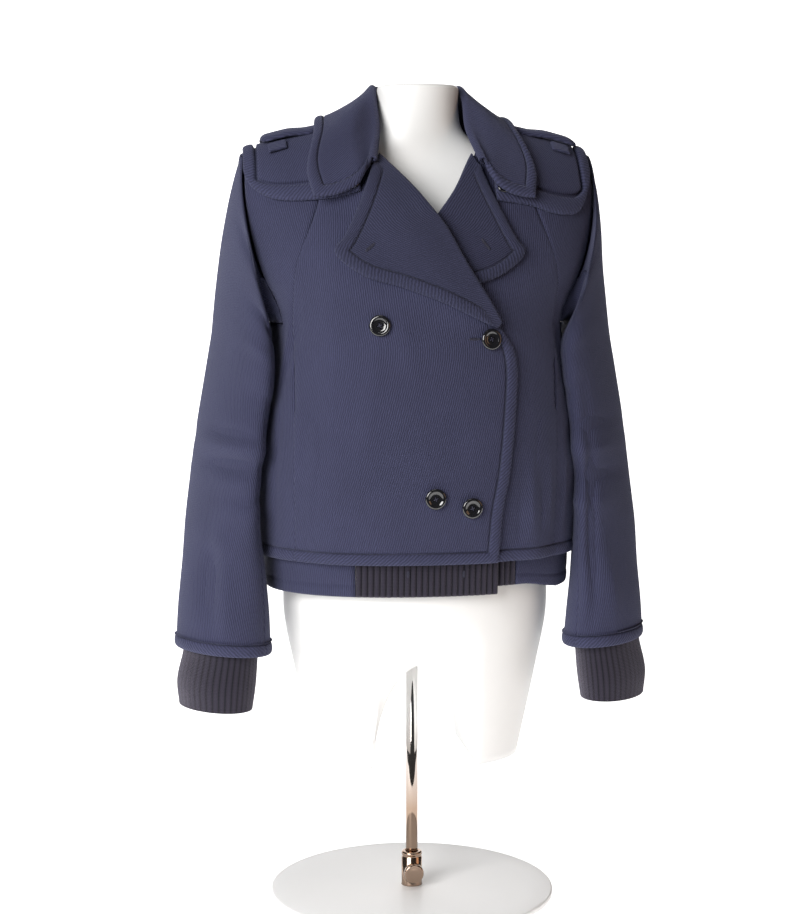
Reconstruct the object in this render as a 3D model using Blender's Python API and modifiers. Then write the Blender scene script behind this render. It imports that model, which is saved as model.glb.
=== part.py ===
"""A cropped, double-breasted wool blazer with rib-knit cuffs and waistband, worn by a limbless
display form on a pole stand. Metres, +Z up, origin at the centre of the base's underside.
The wearer faces -Y, so the wearer's right is at -X. Tables and named sizes are in millimetres.
"""

import math

import bmesh
import bpy
from mathutils import Matrix, Vector

MM = 0.001

# ---------------------------------------------------------------- driving dimensions, mm
GARMENT_OFFSET = Vector((4.0, 0.0, 13.0))   # the tables' zero, seen from the base's centre
SEAM_GAP = 0.3              # each side of a seam
CLOTH = 2.4                 # one layer of heavy twill
DOUBLE = 4.0                # two layers, turned and pressed
BEAD = 1.0                  # how far a rolled edge stands above the wall
GROOVE = 0.7                # how far the edge stitching sinks
EDGE_STEPS = (0.0, 4.0, 12.0, 14.5, 17.0)   # distances from a stitched edge to each mesh line
SQUARENESS = 2.3            # superellipse power of the body's sections
HEM = 395.0
UNDERARM = 655.0
ROLL_START = 700.0          # above this the fronts and back lean in to the shoulder seam
ROLL_POWER = 2.3
NECK_HALF = 68.0            # from centre to the shoulder seam at the neck
NECK_HEIGHT = 874.0
BACK_NECK_DROP = 16.0
SHOULDER_SLOPE = 0.14
SHOULDER_CURVE = 0.0007
PRINCESS_X = 147.0
PRINCESS_TOP_X = 116.0
PRINCESS_BREAK = (700.0, 815.0)   # heights between which the seam swings in to the shoulder
FRONT_ARMHOLE = 68.0        # degrees round the body from the centre front
SIDE_SEAM = 95.0
BACK_ARMHOLE = 112.0
SEAM_ANGLE = 0.15           # each side of the side seam, in degrees
SHOULDER_GAP = 0.6          # each side of the shoulder seam
OVERLAP_LIFT = 4.6          # the upper front over the under front
ROLL_EDGE_LIFT = 7.5        # the upper front's fold over the under lapel
UNDER_SPREAD = 13.0         # the under front's fold lies this much further in


# ---------------------------------------------------------------- tables and how they are read
def table(columns, *rows):
    """Rows as named columns. The first column is the key and rises."""
    return {name: [row[i] for row in rows] for i, name in enumerate(columns.split())}


def read(rows, name, at):
    """One column at a key, on the smooth curve through the rows."""
    keys = next(iter(rows.values()))
    values = rows[name]
    at = min(max(at, keys[0]), keys[-1])
    low = max(i for i in range(len(keys) - 1) if keys[i] <= at)
    high, before, after = low + 1, max(low - 1, 0), min(low + 2, len(keys) - 1)
    span = keys[high] - keys[low]
    t = (at - keys[low]) / span
    leave = (values[high] - values[before]) / (keys[high] - keys[before]) * span
    arrive = (values[after] - values[low]) / (keys[after] - keys[low]) * span
    rise = values[high] - values[low]
    return (values[low] + leave * t + (3 * rise - 2 * leave - arrive) * t * t
            + (leave + arrive - 2 * rise) * t ** 3)


def smooth(low, high, at):
    t = min(max((at - low) / (high - low), 0.0), 1.0)
    return t * t * (3 - 2 * t)


def mix(a, b, t):
    return a + (b - a) * t


# Outer face of the shell. Above the underarm half_width is only a guide for the curve.
BODY = table(
    "height half_width front back",
    (395, 183, 129, 117),
    (440, 186, 134, 114),
    (490, 186, 138, 110),
    (545, 180, 138, 106),
    (600, 171, 136, 106),
    (655, 167, 133, 111),
    (680, 174, 131, 113),
    (700, 185, 129, 114),
    (730, 197, 125, 115),
    (770, 206, 119, 114),
    (810, 209, 113, 112),
    (850, 206, 108, 110),
    (890, 201, 104, 108),
)
# The upper front's free edge: the front edge from the hem, then the fold of the lapel.
FRONT_EDGE = table(
    "height across",
    (395, 73), (416, 75), (455, 78), (494, 84.5), (532, 88.5), (571, 91.5), (606, 93),
    (629, 89.5), (645, 79.5), (653, 73.5), (688, 51), (727, 27), (770, 3), (798, -17),
    (823, -34), (843, -55), (860, -62), (874, -68),
)
# Soft folds that hang in the shell: where round the body, and how far they stand or sink.
BODY_FOLDS = table(
    "angle height reach half_angle depth",
    (-112, 470, 90, 9, 3.5),
    (-76, 600, 60, 8, -3.0),
    (-40, 455, 70, 7, 2.0),
    (25, 430, 55, 7, -2.5),
    (37, 430, 60, 7, 4.0),
    (50, 440, 65, 7, -3.0),
    (80, 580, 60, 8, -3.0),
    (110, 470, 90, 9, 3.5),
    (150, 500, 110, 9, 4.0),
    (180, 560, 120, 10, -4.0),
    (210, 500, 110, 9, 4.0),
)


# ---------------------------------------------------------------- the body's surface
def shoulder_height(x):
    run = max(abs(x) - NECK_HALF, 0.0)
    return NECK_HEIGHT - SHOULDER_SLOPE * run - SHOULDER_CURVE * run * run


def fold_depth(angle, height):
    total = 0.0
    for i, centre in enumerate(BODY_FOLDS["angle"]):
        turn = (angle - centre + 180) % 360 - 180
        across = turn / BODY_FOLDS["half_angle"][i]
        along = (height - BODY_FOLDS["height"][i]) / BODY_FOLDS["reach"][i]
        total += BODY_FOLDS["depth"][i] * math.exp(-across * across - along * along)
    return total


def skin(angle, level):
    """A point of the shell. The angle runs from the centre front (0) round the wearer's left
    (90); level is 0 at the hem, 1 where the shoulder begins to lean in, 2 at its seam."""
    sine, cosine = math.sin(math.radians(angle)), math.cos(math.radians(angle))
    power = 2 / SQUARENESS
    lean = math.radians(90 * max(level - 1, 0.0))
    height = mix(HEM, ROLL_START, min(level, 1.0))
    x = 0.0
    for _ in range(4):
        x = read(BODY, "half_width", height) * math.copysign(abs(sine) ** power, sine)
        if level > 1:
            rise = math.sin(lean) ** (2 / ROLL_POWER)
            height = mix(ROLL_START, shoulder_height(x), rise)
    depth = mix(read(BODY, "back", height), read(BODY, "front", height), 0.5 + 0.5 * cosine)
    y = -depth * math.copysign(abs(cosine) ** power, cosine) * math.cos(lean)
    return Vector((x, y, height))


def body(angle, level, out=0.0):
    """A point of the shell with its folds, moved out along the surface's normal."""
    point = skin(angle, level)
    round_body = skin(angle + 0.5, level) - skin(angle - 0.5, level)
    upward = skin(angle, min(level + 0.01, 2.0)) - skin(angle, level - 0.01)
    normal = round_body.cross(upward).normalized()
    return point + normal * (out + fold_depth(angle, point.z))


def angle_at(x, height):
    share = min(abs(x) / read(BODY, "half_width", height), 1.0)
    return math.copysign(math.degrees(math.asin(share ** (SQUARENESS / 2))), x)


def level_at(x, height):
    if height <= ROLL_START:
        return (height - HEM) / (ROLL_START - HEM)
    share = min((height - ROLL_START) / (shoulder_height(x) - ROLL_START), 1.0)
    return 1 + math.degrees(math.asin(share ** (ROLL_POWER / 2))) / 90


def front(x, height, out=0.0):
    """A point of the front by its place across and its height."""
    return body(angle_at(x, height), level_at(x, height), out)


def overlap(x, height):
    """How far the upper front (the wearer's right) stands off over the under front."""
    lapped = OVERLAP_LIFT * smooth(-140, -100, x)
    near_fold = smooth(-95, -25, x - read(FRONT_EDGE, "across", height))
    high = smooth(642, 695, height) * (1 - smooth(790, 840, height))
    return lapped * (1 - smooth(800, 850, height)) + ROLL_EDGE_LIFT * near_fold * high


def spread(side, height):
    """The under front's fold and edge, measured on the upper front, lie this much further in."""
    return UNDER_SPREAD * (1 - smooth(785, 845, height)) if side > 0 else 0.0


def princess(height):
    return mix(PRINCESS_X, PRINCESS_TOP_X, smooth(*PRINCESS_BREAK, height))


# ---------------------------------------------------------------- building pieces
def clear_scene():
    for item in list(bpy.data.objects):
        bpy.data.objects.remove(item, do_unlink=True)


def collection(name):
    group = bpy.data.collections.new(name)
    bpy.context.scene.collection.children.link(group)
    return group


def material(name, colour, roughness, metallic=0.0):
    finish = bpy.data.materials.new(name)
    finish.use_nodes = True
    shader = finish.node_tree.nodes["Principled BSDF"]
    shader.inputs["Base Color"].default_value = (*colour, 1.0)
    shader.inputs["Roughness"].default_value = roughness
    shader.inputs["Metallic"].default_value = metallic
    finish.diffuse_color = (*colour, 1.0)
    return finish


def place(name, mesh, finish):
    item = bpy.data.objects.new(name, mesh)
    mesh.materials.append(finish)
    BLAZER.objects.link(item)
    return item


def edge_wall(distance, plain):
    """Wall thickness near a rolled and stitched edge."""
    if distance <= EDGE_STEPS[0] + 0.1:
        return plain * 0.6
    if distance <= EDGE_STEPS[2] + 0.1:
        return plain + BEAD
    if distance <= EDGE_STEPS[3] + 0.1:
        return plain - GROOVE
    return plain


def cloth(name, points, walls, finish, wrap=False, flip=False, left_out=()):
    """A cloth wall on a grid of outer points, rows by columns. Its inside is plain: each point
    goes in by the thinnest wall, and Solidify brings the outside back by that point's wall."""
    rows, columns = len(points), len(points[0])
    mesh = bpy.data.meshes.new(name)
    build = bmesh.new()
    corner = {}
    quads = [
        (row, col)
        for row in range(rows - 1)
        for col in range(columns if wrap else columns - 1)
        if (row, col) not in left_out
    ]
    for row, col in quads:
        around = [(row, col), (row, (col + 1) % columns),
                  (row + 1, (col + 1) % columns), (row + 1, col)]
        for key in around:
            if key not in corner:
                corner[key] = build.verts.new((points[key[0]][key[1]] + GARMENT_OFFSET) * MM)
        build.faces.new([corner[key] for key in (reversed(around) if flip else around)])
    build.normal_update()
    build.verts.index_update()
    plain = sorted(walls[row][col] for row, col in corner)[len(corner) // 2]
    thickest = max(walls[row][col] for row, col in corner)
    weights = {vert.index: walls[row][col] / thickest for (row, col), vert in corner.items()}
    for vert in build.verts:
        vert.co -= vert.normal * plain * MM
    build.to_mesh(mesh)
    build.free()
    item = place(name, mesh, finish)
    wall = item.vertex_groups.new(name="wall")
    for index, weight in weights.items():
        wall.add([index], weight, "REPLACE")
    thicken = item.modifiers.new("Cloth thickness", "SOLIDIFY")
    thicken.thickness = thickest * MM
    thicken.offset = 1.0
    thicken.vertex_group = "wall"
    for face in mesh.polygons:
        face.use_smooth = True
    return item


def turned(name, profile, finish, steps=24):
    """A turned piece: a profile of (radius, height), run down its outer side."""
    mesh = bpy.data.meshes.new(name)
    points = [(radius * MM, 0.0, height * MM) for radius, height in profile]
    mesh.from_pydata(points, [(i, i + 1) for i in range(len(points) - 1)], [])
    item = place(name, mesh, finish)
    spin = item.modifiers.new("Turn", "SCREW")
    spin.steps = steps
    spin.render_steps = steps
    spin.use_merge_vertices = True
    spin.merge_threshold = 0.00001
    return item


def facing(item, point, direction):
    """Moves a piece to a point of the garment with its +Z along a direction."""
    item.location = (point + GARMENT_OFFSET) * MM
    item.rotation_euler = direction.to_track_quat("Z", "Y").to_euler()


# ---------------------------------------------------------------- shell panels
HEM_ROWS = [HEM + step for step in EDGE_STEPS]
BODY_ROWS = HEM_ROWS + [450.0, 490.0, 530.0, 570.0, 612.0, UNDERARM]
UNDERARM_ROW = len(BODY_ROWS) - 1
SHOULDER_LEVELS = [1.0, 1.1, 1.22, 1.42, 1.6, 1.78, 1.9, 1.995]
LEVELS = [level_at(0, height) for height in BODY_ROWS] + SHOULDER_LEVELS


def hem_wall(row):
    return edge_wall(EDGE_STEPS[row], CLOTH) if row < len(EDGE_STEPS) else CLOTH


def at_shoulder(point, row, way):
    """The last row stops short of the shoulder seam: way -1 for a front, 1 for the back."""
    if row == len(LEVELS) - 1 and way * point.y < SHOULDER_GAP:
        point.y = way * SHOULDER_GAP
    return point


def front_panel(name, side, finish):
    """side -1 is the wearer's right, the upper front."""
    shares = [0.0, 0.12, 0.25, 0.38, 0.51, 0.64, 0.77, 0.89]
    points, walls = [], []
    for row, level in enumerate(LEVELS):
        line, wall_line = [], []
        for col in range(len(shares) + len(EDGE_STEPS)):
            x, height = -PRINCESS_X, HEM
            from_edge = EDGE_STEPS[::-1][col - len(shares)] if col >= len(shares) else None
            for _ in range(4):
                height = skin(angle_at(x, height), level).z
                seam = -princess(height) + SEAM_GAP
                edge = read(FRONT_EDGE, "across", height) - spread(side, height)
                if from_edge is None:
                    x = mix(seam, edge - EDGE_STEPS[-1], shares[col])
                else:
                    x = edge - from_edge
            lift = overlap(x, height) if side < 0 else 0.0
            point = body(-side * angle_at(x, height), level, lift)
            line.append(at_shoulder(point, row, -1))
            wall = hem_wall(row)
            if from_edge is not None and height < 640:
                wall = min(wall, edge_wall(from_edge, CLOTH)) if row == 0 else (
                    edge_wall(from_edge, CLOTH) if row >= len(EDGE_STEPS) else wall)
            wall_line.append(wall)
        points.append(line)
        walls.append(wall_line)
    return cloth(name, points, walls, finish, flip=side > 0)


def side_panel(name, side, finish):
    inner = [0.0, 0.5, 1.0]
    outer = [0.5, 1.0]
    points, walls = [], []
    for row, level in enumerate(LEVELS):
        height = skin(FRONT_ARMHOLE, level).z
        for _ in range(3):
            seam = angle_at(princess(height) + SEAM_GAP, height)
            height = skin(seam, level).z
        armhole = FRONT_ARMHOLE
        line = [mix(seam, armhole, share) for share in inner]
        line += [mix(armhole, SIDE_SEAM - SEAM_ANGLE, share) for share in outer]
        points.append([at_shoulder(body(side * angle, level), row, -1) for angle in line])
        walls.append([hem_wall(row)] * len(line))
    hidden = {(row, col) for row in range(UNDERARM_ROW, len(LEVELS) - 1) for col in (2, 3)}
    return cloth(name, points, walls, finish, flip=side < 0, left_out=hidden)


def back_panel(name, finish):
    wings = [SIDE_SEAM + SEAM_ANGLE, (SIDE_SEAM + BACK_ARMHOLE) / 2]
    middle = [BACK_ARMHOLE, 122, 132, 144, 156, 168]
    half = wings + middle
    angles = half + [180.0] + [360 - angle for angle in reversed(half)]
    points, walls = [], []
    for row, level in enumerate(LEVELS):
        line = []
        for angle in angles:
            point = body(angle, level)
            neck = NECK_HEIGHT - BACK_NECK_DROP * (1 - min(abs(point.x) / NECK_HALF, 1) ** 2)
            if point.z > neck - 1 and abs(point.x) < NECK_HALF:
                point = body(angle, min(level, level_at(point.x, neck)))
            line.append(at_shoulder(point, row, 1))
        points.append(line)
        walls.append([hem_wall(row)] * len(angles))
    last = len(angles) - 2
    hidden = {(row, col) for row in range(UNDERARM_ROW, len(LEVELS) - 1)
              for col in (0, 1, last - 1, last)}
    return cloth(name, points, walls, finish, left_out=hidden)


# ---------------------------------------------------------------- sleeves and cuffs
# Outer and inner line of the sleeve (x, height), centre front-to-back, half depth, toe-in.
SLEEVE = table(
    "ring outer_x outer_z inner_x inner_z centre_y half_depth toe_in",
    (0, 196, 844, 180, 657, 0, 52, 0),
    (1, 202, 831, 179, 653, 1, 60, 0),
    (2, 209, 800, 176.5, 648, 1, 69, 4),
    (3, 215.5, 755, 175, 640, 1, 75, 9),
    (4, 218.5, 705, 174, 628, 0, 78, 14),
    (5, 221, 650, 175, 606, -2, 78, 18),
    (6, 226.5, 600, 179, 576, -5, 77, 21),
    (7, 235, 540, 186, 530, -9, 74, 22.5),
    (8, 241, 480, 190.5, 478, -13, 71, 24.5),
    (9, 246, 430, 191, 430, -18, 69, 27),
    (10, 250.5, 385, 185.5, 385, -23, 67, 30),
    (11, 257, 340, 180, 338, -28, 66, 32),
    (12, 260.5, 308, 177.5, 303, -31, 65, 33),
    (13, 261, 305.5, 177.5, 300.5, -31, 65, 33),
    (14, 261, 303, 177.5, 298, -31, 65, 33),
    (15, 261, 295, 177.5, 290, -31, 65, 33),
    (16, 261, 291, 177.5, 286, -31, 65, 33),
)
# How the lower sleeves hang: both lean to the wearer's right, whose own sleeve is wider.
LEAN = {-1: (-5.0, 5.5, 9.0), 1: (-4.0, 9.5, 13.0)}     # how far, from which ring to which
WIDER = {-1: 3.5, 1: 0.0}
TOP_SEAM = 104.0            # degrees from the outer line to the sleeve's seams
SLEEVE_SEAM_ANGLE = 1.3
ELBOW_FOLDS = table(
    "ring turn half_turn length depth",
    (4.2, 60, 45, 0.5, -3.0),
    (6.6, 70, 40, 0.35, -4.0),
    (7.3, 95, 40, 0.35, 3.5),
    (7.9, 60, 45, 0.35, -4.5),
    (8.6, 80, 40, 0.4, 3.0),
    (9.6, 20, 35, 0.7, -2.5),
)


SLEEVE_OVER = 3.2           # the sleeve head starts this far outside the shell
HEAD_EASE = 0.036           # its ease is gathered towards the top


def armhole_loop(side):
    """The shell's armhole from the shoulder tip, down the front, under the arm, up the back."""
    def column(angle, levels):
        return [body(side * angle, level) for level in levels]
    rising = LEVELS[UNDERARM_ROW:]
    under = [mix(FRONT_ARMHOLE, BACK_ARMHOLE, i / 6) for i in range(1, 6)]
    loop = column(FRONT_ARMHOLE, rising[::-1])
    loop += [body(side * angle, LEVELS[UNDERARM_ROW]) for angle in under]
    loop += column(BACK_ARMHOLE, rising)
    middle = sum(loop, Vector()) / len(loop)
    return [point + (middle - point).normalized() * 1.7
            + Vector((side * mix(0.5, SLEEVE_OVER, smooth(UNDERARM, 720, point.z)), 0, 0))
            for point in loop]


def along_loop(loop, turn):
    """The loop's point at a turn in degrees: 0 and 360 the tip, 180 under the arm."""
    half = len(loop) // 2
    part = loop[:half + 1] if turn <= 180 else loop[half:]
    share = turn / 180 if turn <= 180 else turn / 180 - 1
    share -= (HEAD_EASE * math.sin(math.radians(2 * turn))
              + HEAD_EASE / 3 * math.sin(math.radians(turn)))
    share = min(max(share, 0.0), 1.0)
    lengths = [0.0]
    for a, b in zip(part, part[1:]):
        lengths.append(lengths[-1] + (b - a).length)
    want = share * lengths[-1]
    i = max(k for k in range(len(part) - 1) if lengths[k] <= max(want, 0.0) + 1e-9)
    return part[i].lerp(part[i + 1], (want - lengths[i]) / (lengths[i + 1] - lengths[i]))


def sleeve_point(side, ring, turn, loop):
    """ring is a row of SLEEVE or between two; turn 0 is outside, 90 the front, 180 inside."""
    cosine, sine = math.cos(math.radians(turn)), math.sin(math.radians(turn))
    get = {name: read(SLEEVE, name, ring) for name in SLEEVE}
    outer = Vector((get["outer_x"], 0, get["outer_z"]))
    inner = Vector((get["inner_x"], 0, get["inner_z"]))
    fold = 0.0
    for i, centre in enumerate(ELBOW_FOLDS["ring"]):
        around = ((turn - ELBOW_FOLDS["turn"][i] + 180) % 360 - 180) / ELBOW_FOLDS["half_turn"][i]
        along = (ring - centre) / ELBOW_FOLDS["length"][i]
        fold += ELBOW_FOLDS["depth"][i] * math.exp(-around * around - along * along)
    wider = WIDER[side] * smooth(8, 11.5, ring)
    outer.x += wider
    inner.x -= wider
    middle, spoke = (outer + inner) / 2, (outer - inner) / 2
    swell = 1 + fold / 60
    offset = spoke * cosine * swell + Vector((0, -get["half_depth"] * sine * swell, 0))
    offset.rotate(Matrix.Rotation(math.radians(-get["toe_in"]), 3, "Z"))
    point = middle + offset + Vector((0, get["centre_y"], 0))
    lean, first, last = LEAN[side]
    point.x = side * point.x + lean * smooth(first, last, ring)
    sewn = 1 - smooth(0, 2.2, ring)
    return point.lerp(along_loop(loop, turn % 360), sewn)


def sleeve(name, side, finish, loop, turns):
    rings = [0, 1.15, 1.6, 2.1, 2.6, 3.2, 4, 5, 6, 6.7, 7.3, 7.9, 8.7, 10, 12, 13, 14, 15, 16]
    points = [[sleeve_point(side, ring, turn, loop) for turn in turns] for ring in rings]
    steps = {12: EDGE_STEPS[4], 13: EDGE_STEPS[3], 14: EDGE_STEPS[2], 15: EDGE_STEPS[1],
             16: EDGE_STEPS[0]}
    walls = [[edge_wall(steps[ring], CLOTH) if ring in steps else CLOTH] * len(turns)
             for ring in rings]
    return cloth(name, points, walls, finish, flip=side < 0)


CUFF = table(
    "height half_width half_depth centre_x centre_y",
    (225, 31.5, 50, 230, -33),
    (252, 34.5, 53, 229, -32.5),
    (285, 32.5, 50, 224, -32),
    (314, 31.5, 50, 221, -31),
    (326, 32.5, 55, 219.5, -30),
)
CUFF_LEAN = -3.5
CUFF_RIBS = 38
CUFF_WALL = 2.6
RIB_DEPTH = 1.1
CUFF_TOE_IN = 33.0


def cuff(name, side, finish):
    points, walls = [], []
    for height in (326, 312, 252, 225):
        line, wall_line = [], []
        for i in range(2 * CUFF_RIBS):
            turn = math.tau * i / (2 * CUFF_RIBS)
            offset = Vector((read(CUFF, "half_width", height) * math.cos(turn),
                             -read(CUFF, "half_depth", height) * math.sin(turn), 0))
            offset.rotate(Matrix.Rotation(math.radians(-CUFF_TOE_IN), 3, "Z"))
            centre = read(CUFF, "centre_x", height)
            line.append(Vector((side * (centre + offset.x) + CUFF_LEAN,
                                read(CUFF, "centre_y", height) + offset.y, height)))
            wall_line.append(CUFF_WALL + (RIB_DEPTH if i % 2 and height < 320 else 0.0))
        points.append(line)
        walls.append(wall_line)
    return cloth(name, points, walls, finish, wrap=True, flip=side < 0)


# ---------------------------------------------------------------- waistband
BAND = table(
    "height half_width front back",
    (357, 174, 119, 107),
    (380, 175.5, 121, 108),
    (405, 175.5, 121, 108),
    (428, 174, 120, 107),
)
BAND_TOP = 428.0
BAND_BOTTOM = 357.5
BAND_LEFT_RISE = 8.0        # the under end of the waistband sits higher
RIB_FROM, RIB_TO = -83.0, 76.0
UNDER_RIB_TO = 98.0         # the under rib end reaches further
RIB_PITCH = 6.6
UNDER_INSET = 5.5           # the under end lies behind the upper end


def band_point(x, share, inset, angle=None):
    bottom = BAND_BOTTOM + (BAND_LEFT_RISE * smooth(-60, 40, x) * (1 - smooth(110, 160, x))
                            if inset else 0.0)
    height = mix(bottom, BAND_TOP, share)
    wide = read(BAND, "half_width", height) - inset
    if angle is None:
        angle = math.copysign(
            math.degrees(math.asin(min(abs(x) / wide, 1) ** (SQUARENESS / 2))), x)
    sine, cosine = math.sin(math.radians(angle)), math.cos(math.radians(angle))
    power = 2 / SQUARENESS
    depth = mix(read(BAND, "back", height), read(BAND, "front", height), 0.5 + 0.5 * cosine)
    return Vector((wide * math.copysign(abs(sine) ** power, sine),
                   -(depth - inset) * math.copysign(abs(cosine) ** power, cosine), height))


def band_angle(x):
    wide = max(BAND["half_width"])
    return math.copysign(math.degrees(math.asin((abs(x) / wide) ** (SQUARENESS / 2))), x)


def waist_rib(name, start, end, inset, finish):
    """A rib-knit end of the waistband, one ridge to each rib."""
    count = 2 * round((end - start) / RIB_PITCH)
    points, walls = [], []
    for share in (0.0, 1.0):
        line = [band_point(mix(start, end, i / count), share, inset) for i in range(count + 1)]
        points.append(line)
        walls.append([CUFF_WALL - 0.6 + (RIB_DEPTH if i % 2 else 0.0)
                      for i in range(count + 1)])
    return cloth(name, points, walls, finish)


def waistband(name, finish):
    """The twill strip from one rib end, round the back, to the other."""
    start = band_angle(UNDER_RIB_TO + 7.0)
    end = 360 + band_angle(RIB_FROM - 2 * SEAM_GAP)
    points, walls = [], []
    for share in (0.0, 0.06, 0.35, 0.7, 1.0):
        line = []
        for i in range(27):
            angle = mix(start, end, i / 26)
            inset = UNDER_INSET * (1 - smooth(start, start + 25, angle))
            x = band_point(0, share, 0, angle=angle).x if angle < 120 else -200
            line.append(band_point(x, share, inset, angle=angle))
        points.append(line)
        walls.append([CLOTH + (0.8 if share < 0.1 else 0)] * 27)
    return cloth(name, points, walls, finish)


# ---------------------------------------------------------------- lapels, collar, flaps
# The wearer's right lapel from the gorge to its lower end: fold and outer outline, both on
# the front, as places across and up.
LAPEL = table(
    "step fold_x fold_z edge_x edge_z",
    (0, -54, 840, -62, 820),
    (1, -38, 825, -70.5, 796),
    (2, -23.5, 806, -81.5, 772),
    (3, -10, 788, -93.5, 749),
    (4, -1, 775, -98.5, 742),
    (5, 6.5, 764, -95, 733),
    (6, 16, 749, -70, 717),
    (7, 27, 728, -36, 702),
    (8, 42.5, 702, 6, 681),
    (9, 58.5, 677, 45, 662),
    (10, 70, 658, 67, 653),
)
LAPEL_UNDERSIDE = 1.9       # the lapel's free part above what it lies on
FOLD_STAND = 2.6            # the same near its fold
FOLD_PAST = 2.0             # how far its fold stands past the front's edge


def lapel_point(side, step, share, above):
    """A point over the front: share 0 at the fold, 1 at the outer edge."""
    fold_z = read(LAPEL, "fold_z", step)
    fold_x = read(LAPEL, "fold_x", step) - spread(side, fold_z)
    x = mix(fold_x, read(LAPEL, "edge_x", step), share)
    height = mix(fold_z, read(LAPEL, "edge_z", step), share)
    lift = overlap(x, height) if side < 0 else 0.0
    return body(-side * angle_at(x, height), level_at(x, height), lift + above)


def lapel(name, side, finish, last_step):
    steps = [step for step in (0.2, 1, 2, 3, 3.6, 4, 4.4, 5, 6, 7, 8, 9, 9.7) if step <= last_step]
    points, walls = [], []
    for step in steps:
        reach = math.hypot(
            read(LAPEL, "fold_x", step) - read(LAPEL, "edge_x", step),
            read(LAPEL, "fold_z", step) - read(LAPEL, "edge_z", step))
        line, wall_line = [], []
        edge_shares = [1 - min(gap / reach, 0.9 - 0.1 * i)
                       for i, gap in enumerate(EDGE_STEPS[::-1])]
        inner_shares = [-FOLD_PAST / reach, 0.4 * edge_shares[0], 0.75 * edge_shares[0]]
        for share in inner_shares + edge_shares:
            share = min(share, 1.0)
            under = mix(LAPEL_UNDERSIDE, FOLD_STAND, min(1 - share, 1) ** 3)
            line.append(lapel_point(side, step, share, under + DOUBLE))
            wall_line.append(edge_wall((1 - share) * reach, DOUBLE))
        points.append(line)
        walls.append(wall_line)
    return cloth(name, points, walls, finish, flip=side > 0)


# Half the collar from the centre back to its front end: the neck seam, the fold at its top,
# the middle of the fall and the fall's outer edge.
COLLAR = table(
    "station seam_x seam_y seam_z roll_x roll_y roll_z mid_x mid_y mid_z edge_x edge_y edge_z",
    (0, 0, 47, 866, 0, 43, 920, 0, 66, 890, 0, 86, 838),
    (1, 32, 42, 869, 29, 37, 920, 40, 60, 890, 50, 80, 842),
    (2, 52, 27, 874, 46, 20, 920, 74, 42, 888, 97, 56, 856),
    (3, 56, 4, 880, 50, -4, 919, 80, 2, 898, 114, 4, 883),
    (4, 56, -22, 873, 52.5, -28, 905, 84, -33, 888, 122, -44, 862),
    (5, 56, -50, 857, 52, -54, 873, 91, -66, 852, 132, -76, 826),
    (6, 54, -75, 846, 51, -83, 853, 80, -102, 812, 127, -101, 796),
)
COLLAR_WALL = 3.2
COLLAR_FOLD = 9.4           # its thickness through the fold
UP = Vector((0, 0, 1))
COLLAR_OVER = {-1: 11.5, 1: 5.0}       # its front ends lie on the flaps and their buttons
COLLAR_NARROWER = {-1: 0.0, 1: 10.0}   # the wearer's left side of the fall is pulled in


def collar_point(station, share, part):
    get = {name: read(COLLAR, name, station) for name in COLLAR}
    seam, rolled, mid, edge = (
        Vector([get[f"{part_name}_{axis}"] for axis in "xyz"])
        for part_name in ("seam", "roll", "mid", "edge"))
    outward = (edge - rolled).cross(UP).cross(UP).normalized() * -1
    if part == "stand":
        return seam.lerp(rolled - outward * COLLAR_FOLD / 2, share)
    if part == "top":
        return rolled + UP * 1.5
    rolled = rolled + outward * COLLAR_FOLD / 2 - UP * 1.5
    weights = (2 * (share - 0.5) * (share - 1), -4 * share * (share - 1),
               2 * share * (share - 0.5))
    return rolled * weights[0] + mid * weights[1] + edge * weights[2]


def collar(name, finish):
    """One folded wall: up the stand, over the fold and down the fall."""
    half = [6, 5.75, 5.5, 5, 4.5, 4, 3.5, 3, 2.5, 2, 1.5, 1, 0.5]
    stations = [(k, 1) for k in half] + [(0, 1)] + [(k, -1) for k in reversed(half)]
    points, walls = [], []
    for station, side in stations:
        end_gap = (6 - station) * 24
        line, wall_line = [], []
        fall = 95.0
        sections = [("stand", 0.0), ("stand", 0.5), ("stand", 1.0), ("top", 0.0),
                    ("fall", 0.02), ("fall", 0.2), ("fall", 0.4), ("fall", 0.62)]
        sections += [("fall", 1 - gap / fall) for gap in EDGE_STEPS[::-1]]
        for part, share in sections:
            point = collar_point(station, share, part)
            point.x *= side
            if part == "fall":
                point.y -= COLLAR_OVER[side] * smooth(3, 4.8, station) * smooth(0, 0.4, share)
                point.x -= COLLAR_NARROWER[side] * share * smooth(1, 3, station)
            line.append(point)
            wall = COLLAR_WALL
            if part == "fall":
                wall = edge_wall(min((1 - share) * fall, end_gap if end_gap > 1 else 0.0),
                                 COLLAR_WALL)
            wall_line.append(wall)
        points.append(line)
        walls.append(wall_line)
    return cloth(name, points, walls, finish)


FLAP_EDGE = {
    # Across from under the lapel to the armhole, and the height of the flap's lower edge.
    -1: table("across height", (73, 796), (100, 791), (129, 790), (162, 791), (180, 799),
              (191, 812), (195, 828)),
    1: table("across height", (73, 790), (100, 787), (117, 784), (136, 778), (156, 775.5),
             (173, 780), (185, 803), (192, 829)),
}
FLAP_END = {-1: 195.0, 1: 192.0}
FLAP_ABOVE = 1.6
FLAP_WALL = 3.4
FLAP_LENGTH = 95.0


def flap_point(side, across, share, out):
    """across grows to the armhole; share is 0 at the flap's lower edge, 1 at the shoulder."""
    bottom = read(FLAP_EDGE[side], "height", across)
    level = mix(level_at(across, bottom), 1.985, share)
    height = bottom
    for _ in range(3):
        height = skin(angle_at(across, height), level).z
    lift = overlap(-across, height) if side < 0 else 0.0
    return body(side * angle_at(across, height), level, out + lift)


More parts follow.
